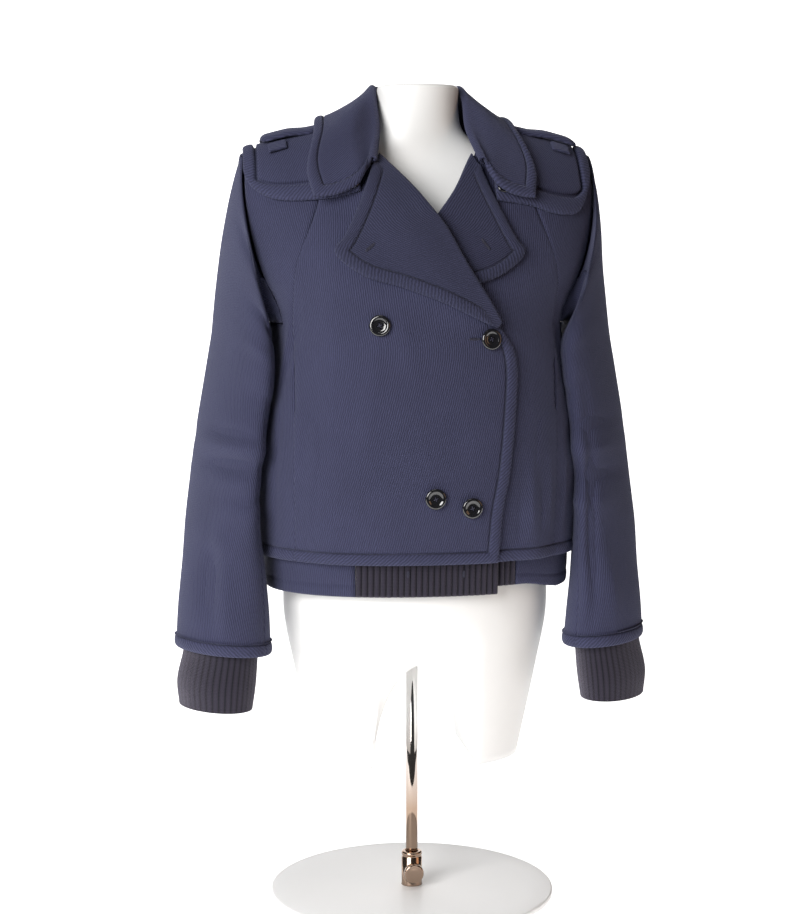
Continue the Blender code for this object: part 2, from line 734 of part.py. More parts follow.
def gun_flap(name, side, finish):
    end = FLAP_END[side]
    columns = [end - gap for gap in (0, 3, 9, 14.5, 19)] + [158, 140, 120, 98, 83, 74]
    points, walls = [], []
    for share in (0.0, 0.04, 0.125, 0.15, 0.18, 0.4, 0.6, 0.8, 1.0):
        line, wall_line = [], []
        for across in columns:
            line.append(flap_point(side, across, share, FLAP_ABOVE + FLAP_WALL))
            to_edge = min(share * FLAP_LENGTH, end - across)
            wall_line.append(edge_wall(to_edge, FLAP_WALL))
        points.append(line)
        walls.append(wall_line)
    return cloth(name, points, walls, finish, flip=side > 0)


STRAP_INNER = {-1: 113.0, 1: 105.0}
STRAP_OUTER = {-1: 174.0, 1: 180.0}
STRAP_HALF = 21.0
STRAP_STAND = 0.5
STRAP_WALL = 3.4
STRAP_RISE = 3.0            # the strap bows up a little over its loop
LOOP_AT, LOOP_WIDE = 158.0, 20.0


def strap_point(side, across, share, out):
    """On the shoulder: share -1 at the strap's front edge, 1 at its back edge."""
    run = STRAP_HALF * share
    ridge = shoulder_height(across)
    drop = run * run / 95
    normal_x = SHOULDER_SLOPE + 2 * SHOULDER_CURVE * max(across - NECK_HALF, 0)
    normal = Vector((side * normal_x, 2 * run / 95, 1)).normalized()
    return Vector((side * across, run, ridge - drop)) + normal * out


def epaulette(name, side, finish):
    tip = STRAP_OUTER[side]
    columns = [STRAP_INNER[side], 120, 133, 146, 159, tip - 10, tip - 4, tip]
    narrow = {STRAP_INNER[side]: 0.85, tip - 10: 0.97, tip - 4: 0.86, tip: 0.6}
    points, walls = [], []
    for across in columns:
        bow = STRAP_RISE * smooth(122, 146, across) * (1 - smooth(166, 182, across))
        out = FLAP_ABOVE + FLAP_WALL + STRAP_STAND + bow + STRAP_WALL
        line = [strap_point(side, across, share * narrow.get(across, 1.0), out)
                for share in (-1, -0.8, -0.4, 0, 0.4, 0.8, 1)]
        points.append(line)
        edge = 0.0 if across == tip else 50.0
        walls.append([edge_wall(min(edge, (1 - abs(share)) * STRAP_HALF), STRAP_WALL)
                      for share in (-1, -0.8, -0.4, 0, 0.4, 0.8, 1)])
    return cloth(name, points, walls, finish, flip=side > 0)


def strap_loop(name, side, finish):
    """The short band over the shoulder that the strap passes through, in front of its edge."""
    points, walls = [], []
    for across in (LOOP_AT - LOOP_WIDE / 2, LOOP_AT, LOOP_AT + LOOP_WIDE / 2):
        line = [strap_point(side, across, share, FLAP_ABOVE + FLAP_WALL + out)
                for share, out in ((-1.75, 3.4), (-1.45, 3.6), (-1.2, 4.0))]
        points.append(line)
        walls.append([2.4] * 3)
    return cloth(name, points, walls, finish, flip=side > 0)


# ---------------------------------------------------------------- pockets and buttons
POCKET_WIDE = 36.0
POCKET_WALL = 1.2
POCKET_BEHIND = 3.0


def pocket(name, side, finish):
    """The pocket bag inside the front, sewn round its curved outline."""
    points, walls = [], []
    for height in (418, 455, 500, 535, 552, 560):
        reach = POCKET_WIDE * (1 if height < 520 else math.cos(
            math.radians(80 * (height - 520) / 44)))
        line = []
        for i in range(4):
            x = -(PRINCESS_X - 3 - reach * i / 3)
            inward = CLOTH + POCKET_BEHIND
            lift = overlap(x, height) if side < 0 else 0.0
            line.append(body(-side * angle_at(x, height), level_at(x, height), lift - inward))
        points.append(line)
        walls.append([POCKET_WALL] * 4)
    return cloth(name, points, walls, finish, flip=side > 0)


BUTTON_RADIUS, BUTTON_THICK = 11.6, 3.4
BUTTON_STAND = 1.8
BUTTONS = {"button_1": (-57.0, 656.5), "button_2": (61.5, 641.0),
           "button_3": (1.0, 470.0), "button_4": (41.0, 459.0)}
SMALL_RADIUS = 6.5
SMALL_BUTTON_AT = (-81.0, 802.0)
SMALL_BUTTON_OUT = FLAP_ABOVE + FLAP_WALL + 1.9


def button_profile(radius, thick):
    """Dished face, raised round rim, flat back."""
    return [(0, thick * 0.62), (radius * 0.6, thick * 0.62), (radius * 0.7, thick * 0.95),
            (radius * 0.85, thick), (radius * 0.97, thick * 0.8), (radius, thick * 0.45),
            (radius * 0.85, 0), (0, 0)]


def button(name, x, height, finish):
    item = turned(name, button_profile(BUTTON_RADIUS, BUTTON_THICK), finish, steps=16)
    lift = overlap(x, height)
    seat = front(x, height, lift + BUTTON_STAND)
    facing(item, seat, front(x, height, lift + 10) - front(x, height, lift))


def small_button(name, side, finish):
    """Under the collar's corner, half showing, for closing the collar."""
    item = turned(name, button_profile(SMALL_RADIUS, 2.4), finish, steps=12)
    x, height = SMALL_BUTTON_AT
    lift = overlap(x, height) if side < 0 else 0.0
    angle, level = -side * angle_at(x, height), level_at(x, height)
    seat = body(angle, level, lift + SMALL_BUTTON_OUT)
    facing(item, seat, body(angle, level, lift + SMALL_BUTTON_OUT + 10) - seat)


# ---------------------------------------------------------------- display form and stand
FORM = table(
    "height half_width front back centre_y",
    (155, 119, 86, 84, 0),
    (260, 141, 100, 98, 0),
    (330, 153, 106, 102, 0),
    (400, 148, 102, 98, 0),
    (460, 132, 94, 88, 0),
    (520, 118, 88, 80, 0),
    (580, 122, 96, 84, 0),
    (640, 134, 110, 92, 0),
    (700, 146, 112, 96, 0),
    (745, 153, 99, 97, 0),
    (785, 154, 82, 88, 0),
    (812, 145, 60, 72, -2),
    (834, 114, 46, 52, -6),
    (850, 80, 40, 40, -10),
    (868, 53, 39, 36, -12),
    (892, 46, 40, 37, -13),
    (920, 46, 42, 39, -14),
)
FORM_HEIGHTS = (155, 205, 262, 330, 400, 460, 520, 580, 640, 700, 745, 785, 812, 834, 850,
                868, 892, 920)
FORM_SIDES = 24
FORM_HIPS = 330.0
FORM_ARCH, FORM_ARCH_HALF = 276.0, 58.0
POLE_RADIUS = 7.0
SOCKET_RADIUS, SOCKET_TOP = 12.0, 48.0
BASE_RADIUS, BASE_THICK = 165.0, 8.0
KNOB_HEIGHT, KNOB_RADIUS, KNOB_THICK = 26.0, 11.5, 9.0
KNOB_STEM_RADIUS, KNOB_STEM = 2.8, 3.4
POLE_CLEAR = 5.5            # the arch curves down this much over the pole's radius


def form_bottom(x):
    """The form's lower end: level at the sides, arched over the pole in the middle."""
    share = min(abs(x) / FORM_ARCH_HALF, 1.0)
    return mix(FORM["height"][0], FORM_ARCH, math.sqrt(1 - share * share))


def form(name, finish):
    """Neck, shoulders without arms, torso and the arched lower end."""
    mesh = bpy.data.meshes.new(name)
    build = bmesh.new()
    rings = []
    for height in FORM_HEIGHTS:
        ring = []
        for i in range(FORM_SIDES):
            angle = math.tau * (i + 0.5) / FORM_SIDES
            x = read(FORM, "half_width", height) * math.sin(angle)
            depth = read(FORM, "front" if math.cos(angle) > 0 else "back", height)
            y = read(FORM, "centre_y", height) - depth * math.cos(angle)
            z = height
            if height < FORM_HIPS:
                share = (height - FORM_HEIGHTS[0]) / (FORM_HIPS - FORM_HEIGHTS[0])
                z = mix(form_bottom(x), FORM_HIPS, share)
            ring.append(build.verts.new((Vector((x, y, z)) + GARMENT_OFFSET) * MM))
        rings.append(ring)
    for lower, upper in zip(rings, rings[1:]):
        for i in range(FORM_SIDES):
            j = (i + 1) % FORM_SIDES
            build.faces.new((lower[i], lower[j], upper[j], upper[i]))
    build.faces.new(rings[-1])
    lowest, half = rings[0], FORM_SIDES // 2
    for i in range(-half // 2, half // 2 - 1):
        build.faces.new((lowest[i], lowest[(half - 1 - i) % FORM_SIDES],
                         lowest[(half - 2 - i) % FORM_SIDES], lowest[i + 1]))
    bmesh.ops.recalc_face_normals(build, faces=build.faces)
    build.to_mesh(mesh)
    build.free()
    for face in mesh.polygons:
        face.use_smooth = True
    return place(name, mesh, finish)


def cylinder(name, radius, low, high, finish, sides=24):
    mesh = bpy.data.meshes.new(name)
    build = bmesh.new()
    bmesh.ops.create_cone(build, cap_ends=True, segments=sides, radius1=radius * MM,
                          radius2=radius * MM, depth=(high - low) * MM)
    build.to_mesh(mesh)
    build.free()
    item = place(name, mesh, finish)
    item.location.z = (low + high) / 2 * MM
    return item


def stand():
    base = cylinder("stand_base", BASE_RADIUS, 0, BASE_THICK, WHITE, sides=48)
    rounded = base.modifiers.new("Rounded rim", "BEVEL")
    rounded.width = 2.0 * MM
    rounded.segments = 1
    under_form = form_bottom(-GARMENT_OFFSET.x) + GARMENT_OFFSET.z
    cylinder("stand_pole", POLE_RADIUS, BASE_THICK + 0.5, under_form - POLE_CLEAR, CHROME)
    bore = POLE_RADIUS + 0.5
    socket = turned("stand_socket", [
        (bore, BASE_THICK + 0.3), (bore, SOCKET_TOP), (SOCKET_RADIUS - 1.5, SOCKET_TOP),
        (SOCKET_RADIUS, SOCKET_TOP - 1.5), (SOCKET_RADIUS, BASE_THICK + 0.3),
        (bore, BASE_THICK + 0.3)], CHROME)
    hole = cylinder("knob_hole", 3.4, 0, SOCKET_RADIUS * 2, CHROME, sides=16)
    BLAZER.objects.unlink(hole)
    CUTTERS.objects.link(hole)
    hole.hide_render = True
    hole.display_type = "WIRE"
    hole.rotation_euler = (math.radians(90), 0, 0)
    hole.location = (0, -(SOCKET_RADIUS + 1.0) * MM, KNOB_HEIGHT * MM)
    cut = socket.modifiers.new("Knob hole", "BOOLEAN")
    cut.operation = "DIFFERENCE"
    cut.object = hole
    knob = turned("clamp_knob", [
        (0, KNOB_THICK), (KNOB_RADIUS - 1.2, KNOB_THICK), (KNOB_RADIUS, KNOB_THICK - 1.2),
        (KNOB_RADIUS, 1.2), (KNOB_RADIUS - 1.2, 0), (KNOB_STEM_RADIUS, 0),
        (KNOB_STEM_RADIUS, -KNOB_STEM), (0, -KNOB_STEM)], CHROME, steps=20)
    knob.location = (0, -(SOCKET_RADIUS + 0.6) * MM, KNOB_HEIGHT * MM)
    knob.rotation_euler = (math.radians(90), 0, 0)


# ---------------------------------------------------------------- assembly
clear_scene()
BLAZER = collection("Blazer on a display form")
CUTTERS = collection("Cutters")
TWILL = material("Navy wool twill", (0.045, 0.05, 0.11), 0.9)
RIB = material("Dark navy rib knit", (0.02, 0.02, 0.04), 0.95)
HORN = material("Black gloss button", (0.01, 0.01, 0.012), 0.2)
WHITE = material("White form", (0.85, 0.85, 0.84), 0.5)
CHROME = material("Chrome", (0.75, 0.75, 0.76), 0.15, 1.0)

back_panel("back", TWILL)
front_panel("front_right", -1, TWILL)
front_panel("front_left", 1, TWILL)
HALF_TOP = [TOP_SEAM - SLEEVE_SEAM_ANGLE, 98, 86, 66, 40, 13]
TOP_TURNS = [-turn for turn in HALF_TOP] + HALF_TOP[::-1]
HALF_UNDER = [TOP_SEAM + SLEEVE_SEAM_ANGLE, 110, 125, 150]
UNDER_TURNS = HALF_UNDER + [180] + [360 - turn for turn in reversed(HALF_UNDER)]
for word, hand in (("right", -1), ("left", 1)):
    side_panel(f"side_{word}", hand, TWILL)
    opening = armhole_loop(hand)
    sleeve(f"sleeve_top_{word}", hand, TWILL, opening, TOP_TURNS)
    sleeve(f"sleeve_under_{word}", hand, TWILL, opening, UNDER_TURNS)
    cuff(f"cuff_{word}", hand, RIB)
    gun_flap(f"gun_flap_{word}", hand, TWILL)
    epaulette(f"epaulette_{word}", hand, TWILL)
    strap_loop(f"epaulette_loop_{word}", hand, TWILL)
    pocket(f"pocket_{word}", hand, TWILL)
    small_button(f"collar_button_{word}", hand, HORN)
lapel("lapel_right", -1, TWILL, 10)
lapel("lapel_left", 1, TWILL, 7)
collar("collar", TWILL)
waistband("waistband", TWILL)
waist_rib("waist_rib_right", RIB_FROM + SEAM_GAP, RIB_TO, 0.0, RIB)
waist_rib("waist_rib_left", -RIB_TO, UNDER_RIB_TO, UNDER_INSET, RIB)
for label, (across, up) in BUTTONS.items():
    button(label, across, up, HORN)
form("form", WHITE)
stand()
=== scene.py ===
import math

import bmesh
import bpy
import numpy as np
from mathutils import Matrix, Vector


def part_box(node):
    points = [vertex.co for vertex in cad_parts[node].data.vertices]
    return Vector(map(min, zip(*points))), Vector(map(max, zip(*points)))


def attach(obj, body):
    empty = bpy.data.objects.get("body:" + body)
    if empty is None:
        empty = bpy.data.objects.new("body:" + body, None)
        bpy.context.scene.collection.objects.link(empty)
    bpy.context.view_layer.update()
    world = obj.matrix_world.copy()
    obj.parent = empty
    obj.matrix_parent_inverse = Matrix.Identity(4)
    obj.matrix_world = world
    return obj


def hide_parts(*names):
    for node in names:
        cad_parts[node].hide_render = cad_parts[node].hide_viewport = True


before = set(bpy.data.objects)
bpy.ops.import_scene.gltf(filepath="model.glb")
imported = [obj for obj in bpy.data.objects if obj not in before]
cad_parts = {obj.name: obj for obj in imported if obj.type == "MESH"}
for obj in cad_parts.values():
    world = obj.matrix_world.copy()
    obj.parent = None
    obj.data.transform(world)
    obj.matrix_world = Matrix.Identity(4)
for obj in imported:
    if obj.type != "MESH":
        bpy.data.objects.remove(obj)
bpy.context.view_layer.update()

# ---------------------------------------------------------------- the view and the studio
# Seen from a little to the wearer's right, at chest height, 2.3 m away. One large soft light on
# the left, a weak warm one on the right and a white ground.
view_turn = math.radians(-8.0)
view_distance, eye_height, look_height, shift_left = 2.3, 0.763, 0.513, 0.0138
metres_per_pixel, photo_rows = 0.00115, 914
sideways = Vector((math.cos(view_turn), math.sin(view_turn), 0.0))
eye = Vector((math.sin(view_turn) * view_distance, -math.cos(view_turn) * view_distance, eye_height))
eye -= sideways * shift_left
look_at = Vector((0.0, 0.0, look_height)) - sideways * shift_left
sensor_height = 24.0
camera_data = bpy.data.cameras.new("photo_view")
camera_data.sensor_fit = "VERTICAL"
camera_data.sensor_height = sensor_height
camera_data.lens = sensor_height * (look_at - eye).length / (photo_rows * metres_per_pixel)
camera = bpy.data.objects.new("photo_view", camera_data)
camera.location = eye
camera.rotation_euler = (look_at - eye).to_track_quat("-Z", "Y").to_euler()
bpy.context.scene.collection.objects.link(camera)
bpy.context.scene.camera = camera


def soft_light(name, at, towards, size, power, colour):
    data = bpy.data.lights.new(name, "AREA")
    data.shape = "SQUARE"
    data.size = size
    data.energy = power
    data.color = colour
    light = bpy.data.objects.new(name, data)
    light.location = at
    light.rotation_euler = (Vector(towards) - Vector(at)).to_track_quat("-Z", "Y").to_euler()
    bpy.context.scene.collection.objects.link(light)


soft_light("left_softbox", (-2.1, -2.4, 1.5), (0, 0, 0.6), 2.0, 135.0, (1.0, 0.99, 0.98))
soft_light("warm_fill", (2.6, -1.5, 0.9), (0, 0, 0.4), 1.4, 8.0, (1.0, 0.60, 0.36))
soft_light("top_fill", (-0.3, -0.5, 2.9), (0, 0, 0.5), 1.2, 6.0, (1.0, 1.0, 1.0))

studio = bpy.data.worlds.new("white_studio")
studio.use_nodes = True
studio.node_tree.nodes["Background"].inputs["Color"].default_value = (1.0, 1.0, 1.0, 1.0)
studio.node_tree.nodes["Background"].inputs["Strength"].default_value = 0.05
bpy.context.scene.world = studio
bpy.context.scene.view_settings.view_transform = "Standard"

paper = bpy.data.materials.new("white_paper")
paper.use_nodes = True
paper_shader = paper.node_tree.nodes["Principled BSDF"]
paper_shader.inputs["Base Color"].default_value = (0.93, 0.93, 0.93, 1.0)
paper_shader.inputs["Roughness"].default_value = 0.9
paper_shader.inputs["Emission Color"].default_value = (1.0, 1.0, 1.0, 1.0)
paper_shader.inputs["Emission Strength"].default_value = 1.0
just_under_base = 0.0002
sweep = bmesh.new()
profile = [(-0.9, 0.0), (2.0, 0.0), (2.6, 0.06), (3.1, 0.3), (3.4, 0.8), (3.5, 1.6), (3.5, 5.0)]
rails = [[sweep.verts.new((x, y, z - just_under_base)) for y, z in profile] for x in (-2.2, 2.2)]
for i in range(len(profile) - 1):
    sweep.faces.new((rails[0][i], rails[1][i], rails[1][i + 1], rails[0][i + 1]))
sweep_mesh = bpy.data.meshes.new("paper_sweep")
sweep.to_mesh(sweep_mesh)
sweep.free()
for face in sweep_mesh.polygons:
    face.use_smooth = True
sweep_mesh.materials.append(paper)
floor = bpy.data.objects.new("paper_sweep", sweep_mesh)
bpy.context.scene.collection.objects.link(floor)


# ---------------------------------------------------------------- stand base
# A round steel plate, 8 mm thick, powder-coated white, with a small rounded rim. It stands on the
# floor and carries the socket in its middle.
def finished(name, mesh, finish, body, *nodes):
    """Puts a finished mesh into the scene on its body, in place of the nodes it stands for."""
    mesh.materials.append(finish)
    item = bpy.data.objects.new(name, mesh)
    bpy.context.scene.collection.objects.link(item)
    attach(item, body)
    if nodes:
        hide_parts(*nodes)
    return item


def lathe(profile, steps, turned=None, milled=lambda radius, height: 0.0):
    """A turned shape from a profile of (radius, height) in mm, listed down its outside. `milled`
    gives how far every other step stands out, and the ones between them in."""
    work = bmesh.new()
    rings = []
    for radius, height in profile:
        if radius < 1e-6:
            rings.append([work.verts.new((0, 0, height * 0.001))])
            continue
        ring = []
        for i in range(steps):
            reach = (radius + milled(radius, height) * (1 if i % 2 else -1)) * 0.001
            angle = math.tau * i / steps
            ring.append(work.verts.new((reach * math.cos(angle), reach * math.sin(angle),
                                        height * 0.001)))
        rings.append(ring)
    for upper, lower in zip(rings, rings[1:]):
        for i in range(steps):
            j = (i + 1) % steps
            corners = [upper[i % len(upper)], lower[i % len(lower)],
                       lower[j % len(lower)], upper[j % len(upper)]]
            corners = list(dict.fromkeys(corners))
            if len(corners) > 2:
                work.faces.new(corners)
    if turned is not None:
        bmesh.ops.transform(work, matrix=turned, verts=work.verts)
    bmesh.ops.recalc_face_normals(work, faces=work.faces)
    mesh = bpy.data.meshes.new("turned")
    work.to_mesh(mesh)
    work.free()
    for face in mesh.polygons:
        face.use_smooth = True
    return mesh


def wire(tree, node, inputs):
    """Gives each named input of a node its value, or links it where an output is given."""
    for key, value in inputs.items():
        if isinstance(value, bpy.types.NodeSocket):
            tree.links.new(value, node.inputs[key])
        else:
            node.inputs[key].default_value = value


def add_node(tree, kind, inputs=None, **settings):
    """Adds a node with its settings, then its inputs, and returns its outputs."""
    node = tree.nodes.new(kind)
    for name, value in settings.items():
        setattr(node, name, value)
    wire(tree, node, inputs or {})
    return node.outputs


def new_finish(name):
    """A new material, its node tree and its shader."""
    finish = bpy.data.materials.new(name)
    finish.use_nodes = True
    return finish, finish.node_tree, finish.node_tree.nodes["Principled BSDF"]


def hard_finish(name, colour, roughness, metallic, fine, depth, coat=0.0):
    """Paint or plate with a fine unevenness in its gloss and surface."""
    finish, tree, shader = new_finish(name)
    place = add_node(tree, "ShaderNodeTexCoord")["Object"]
    grain = add_node(tree, "ShaderNodeTexNoise", {"Vector": place, "Scale": fine, "Detail": 4.0})
    gloss = add_node(tree, "ShaderNodeMapRange", {"Value": grain["Fac"], "To Min": roughness * 0.8,
                                                  "To Max": roughness * 1.25})
    tint = add_node(tree, "ShaderNodeMix", {"Factor": grain["Fac"], "B": (*colour, 1.0),
                                            "A": (*[c * 0.97 for c in colour], 1.0)},
                    data_type="RGBA")
    bump = add_node(tree, "ShaderNodeBump", {"Height": grain["Fac"], "Strength": 0.3,
                                             "Distance": depth})
    wire(tree, shader, {"Metallic": metallic, "Coat Weight": coat, "Roughness": gloss["Result"],
                        "Base Color": tint["Result"], "Normal": bump["Normal"]})
    return finish


powder_white = hard_finish("powder_white", (0.88, 0.88, 0.88), 0.45, 0.0, 900.0, 0.0001)
finished("base_plate", lathe([(0, 8), (140, 8), (162.6, 8), (164.0, 7.6), (164.8, 6.8), (165, 5.8),
                              (165, 2.2), (164.8, 1.2), (164.0, 0.4), (162.6, 0), (140, 0),
                              (0, 0)], 128), powder_white, "stand", "stand_base")

# ---------------------------------------------------------------- socket, pole and clamp knob
# A chromed socket is welded to the base. The 14 mm chromed tube stands in it and a round thumb
# knob with a milled rim clamps it. Socket and knob are coloured a dark warm tone, and the pole's
# colour turns dark and warm towards the base: painted warm reflection on the chrome.
chrome = hard_finish("chrome_plate", (0.80, 0.79, 0.78), 0.06, 1.0, 260.0, 0.00002)
# Chrome coloured dark and warm for socket and knob: painted warm reflection.
painted_warm_chrome = hard_finish("painted_warm_chrome", (0.40, 0.29, 0.22), 0.16, 1.0, 260.0, 0.00002)
chrome_tree = chrome.node_tree
chrome_shader = chrome_tree.nodes["Principled BSDF"]
plain_colour = chrome_shader.inputs["Base Color"].links[0].from_socket
place = chrome_tree.nodes["Texture Coordinate"].outputs["Object"]
# Below 0.21 m the pole's colour fades to a dark warm tone: painted warm reflection.
level = add_node(chrome_tree, "ShaderNodeSeparateXYZ", {"Vector": place})["Z"]
rising = add_node(chrome_tree, "ShaderNodeMapRange", {"Value": level, "From Min": 0.10,
                                                      "From Max": 0.21})
painted_warm_reflection = add_node(chrome_tree, "ShaderNodeMix",
                  {"Factor": rising["Result"], "A": (0.36, 0.26, 0.195, 1.0), "B": plain_colour},
                  data_type="RGBA")
wire(chrome_tree, chrome_shader, {"Base Color": painted_warm_reflection["Result"]})
socket_mesh = lathe([(7.5, 8.3), (7.5, 48), (8.2, 48.6), (10.2, 48.6), (11.3, 48), (12, 46.8),
                     (12, 44.6), (11.2, 43.8), (11.2, 42.2), (12, 41.4), (12, 9.6), (12.4, 8.3),
                     (7.5, 8.3)], 64)
finished("socket", socket_mesh, painted_warm_chrome, "stand", "stand_socket")
pole_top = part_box("stand_pole")[1][2] * 1000
finished("pole", lathe([(0, pole_top), (6.2, pole_top), (7, pole_top - 0.8), (7, 120), (7.04, 119.6),
                        (7.04, 117), (7, 116.6), (7, 9.3), (6.2, 8.5), (0, 8.5)], 64),
         chrome, "upper", "stand_pole")
knob_low, knob_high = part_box("clamp_knob")
knob_height = (knob_low[2] + knob_high[2]) / 2
knob_back = -0.0126
knob_seat = Matrix.Translation((0, knob_back, knob_height)) @ Matrix.Rotation(math.pi / 2, 4, "X")
knob_mesh = lathe([(0, 9.0), (6.5, 9.0), (8.2, 8.7), (9.6, 8.9), (10.4, 8.6), (11.0, 7.9),
                   (11.35, 7.0), (11.35, 2.0), (11.0, 1.2), (10.2, 0.4), (9.0, 0), (2.8, 0),
                   (2.8, -3.4), (0, -3.4)], 96, turned=knob_seat,
                  milled=lambda radius, height: 0.14 if radius > 11 and 1.5 < height < 7.5 else 0.0)
finished("thumb_knob", knob_mesh, painted_warm_chrome, "knob", "clamp_knob")


# ---------------------------------------------------------------- display form
# A moulded white torso with a neck and no head, arms or legs. Its lower end is arched over the
# pole. Sizes in mm; the garment and the form stand a little to the wearer's left of the pole.
def table(columns, *rows):
    """Rows as named columns. The first column is the key and rises."""
    return {name: np.array([row[i] for row in rows], float)
            for i, name in enumerate(columns.split())}


def read(rows, name, at):
    """One column at one key or many, on the smooth curve through the rows."""
    keys = next(iter(rows.values()))
    values = rows[name]
    at = np.clip(at, keys[0], keys[-1])
    low = np.clip(np.searchsorted(keys, at, side="right") - 1, 0, len(keys) - 2)
    high, before, after = low + 1, np.maximum(low - 1, 0), np.minimum(low + 2, len(keys) - 1)
    span = keys[high] - keys[low]
    t = (at - keys[low]) / span
    leave = (values[high] - values[before]) / (keys[high] - keys[before]) * span
    arrive = (values[after] - values[low]) / (keys[after] - keys[low]) * span
    rise = values[high] - values[low]
    return (values[low] + leave * t + (3 * rise - 2 * leave - arrive) * t * t
            + (leave + arrive - 2 * rise) * t ** 3)


def smooth(low, high, at):
    t = np.clip((at - low) / (high - low), 0.0, 1.0)
    return t * t * (3 - 2 * t)


def mix(a, b, t):
    return a + (b - a) * t


garment_offset = np.array([4.0, 0.0, 13.0])
form_sizes = table(
    "height half_width front back centre_y",
    (155, 119, 86, 84, 0),
    (260, 141, 100, 98, 0),
    (330, 153, 106, 102, 0),
    (400, 148, 102, 98, 0),
    (460, 132, 94, 88, 0),
    (520, 118, 88, 80, 0),
    (580, 122, 96, 84, 0),
    (640, 134, 110, 92, 0),
    (700, 146, 112, 96, 0),
    (745, 153, 99, 97, 0),
    (785, 154, 82, 88, 0),
    (812, 145, 60, 72, -2),
    (834, 114, 46, 52, -6),
    (850, 80, 40, 40, -10),
    (868, 53, 39, 36, -12),
    (892, 46, 40, 37, -13),
    (920, 46, 42, 39, -14),
)
form_foot, form_arch, form_arch_half, form_hips = 155.0, 276.0, 58.0, 330.0
form_heights = np.concatenate([np.linspace(form_foot, form_hips, 26), np.linspace(336, 914, 84),
                               [916.5, 918.5, 919.6]])
form_steps, halfway = 144, 72
form_turns = np.linspace(0, math.tau, form_steps, endpoint=False)
height, turn = np.meshgrid(form_heights, form_turns, indexing="ij")
form_x = read(form_sizes, "half_width", height) * np.sin(turn)
form_depth = mix(read(form_sizes, "back", height), read(form_sizes, "front", height),
                 smooth(-0.25, 0.25, np.cos(turn)))
form_y = read(form_sizes, "centre_y", height) - form_depth * np.cos(turn)
inset = np.interp(height, [914, 916.5, 918.5, 919.6], [0, 0.4, 1.6, 3.4])
form_x -= inset * np.sin(turn)
form_y += inset * np.cos(turn)
arch = mix(form_foot, form_arch, np.sqrt(1 - np.clip(np.abs(form_x) / form_arch_half, 0, 1) ** 2))
lowered = mix(arch, form_hips, (height - form_foot) / (form_hips - form_foot))
form_z = np.where(height < form_hips, lowered, height)
form_verts = ((np.stack([form_x, form_y, form_z], axis=2) + garment_offset) * 0.001).reshape(-1, 3)
form_faces = []
for row in range(len(form_heights) - 1):
    here, above = row * form_steps, (row + 1) * form_steps
    for i in range(form_steps):
        j = (i + 1) % form_steps
        form_faces.append((here + i, here + j, above + j, above + i))
# The lower end is closed from front to back, and the neck with one flat face.
for i in range(-halfway // 2, halfway // 2):
    corners = dict.fromkeys(((i + 1) % form_steps, i % form_steps, (halfway - i) % form_steps,
                             (halfway - i - 1) % form_steps))
    if len(corners) > 2:
        form_faces.append(tuple(corners))
top_ring = (len(form_heights) - 1) * form_steps
form_faces.append(tuple(top_ring + i for i in range(form_steps)))
form_mesh = bpy.data.meshes.new("form")
form_mesh.from_pydata(form_verts.tolist(), [], form_faces)
form_work = bmesh.new()
form_work.from_mesh(form_mesh)
bmesh.ops.recalc_face_normals(form_work, faces=form_work.faces)
form_work.to_mesh(form_mesh)
form_work.free()
for face in form_mesh.polygons:
    face.use_smooth = True
form_mesh.polygons[len(form_faces) - 1].use_smooth = False
form_white = hard_finish("form_white", (0.88, 0.88, 0.87), 0.42, 0.0, 60.0, 0.0002)
finished("torso_form", form_mesh, form_white, "upper", "form")

# ---------------------------------------------------------------- back
# One piece of heavy navy cavalry twill from the shoulder seams to the hem, 2.4 mm thick. The hem
# is turned up, pressed to a soft roll and stitched 13 mm in.
cloth_wall, seam_gap, bead, groove = 2.4, 0.12, 2.2, 1.3
hem, underarm, roll_start, roll_power, squareness = 395.0, 655.0, 700.0, 2.3, 2.3
neck_half, neck_height, back_neck_drop = 68.0, 874.0, 16.0
front_armhole, side_seam, back_armhole = 68.0, 95.0, 112.0
shell = table(
    "height half_width front back",
    (395, 183, 129, 117),
    (440, 186, 134, 114),
    (490, 186, 138, 110),
    (545, 180, 138, 106),
    (600, 171, 136, 106),
    (655, 167, 133, 111),
    (680, 174, 131, 113),
    (700, 185, 129, 114),
    (730, 197, 125, 115),
    (770, 206, 119, 114),
    (810, 209, 113, 112),
    (850, 206, 108, 110),
    (890, 201, 104, 108),
)
# Folds: angle round the body from the centre front, height, half lengths and depth in mm.
body_folds = np.array([
    (-112, 470, 90, 9, 3.5), (-76, 600, 60, 8, -3.0), (-40, 455, 70, 7, 2.0),
    (25, 430, 55, 7, -2.5), (37, 430, 60, 7, 4.0), (50, 440, 65, 7, -3.0),
    (80, 580, 60, 8, -3.0), (110, 470, 90, 9, 3.5), (150, 500, 110, 9, 4.0),
    (180, 560, 120, 10, -4.0), (210, 500, 110, 9, 4.0),
])
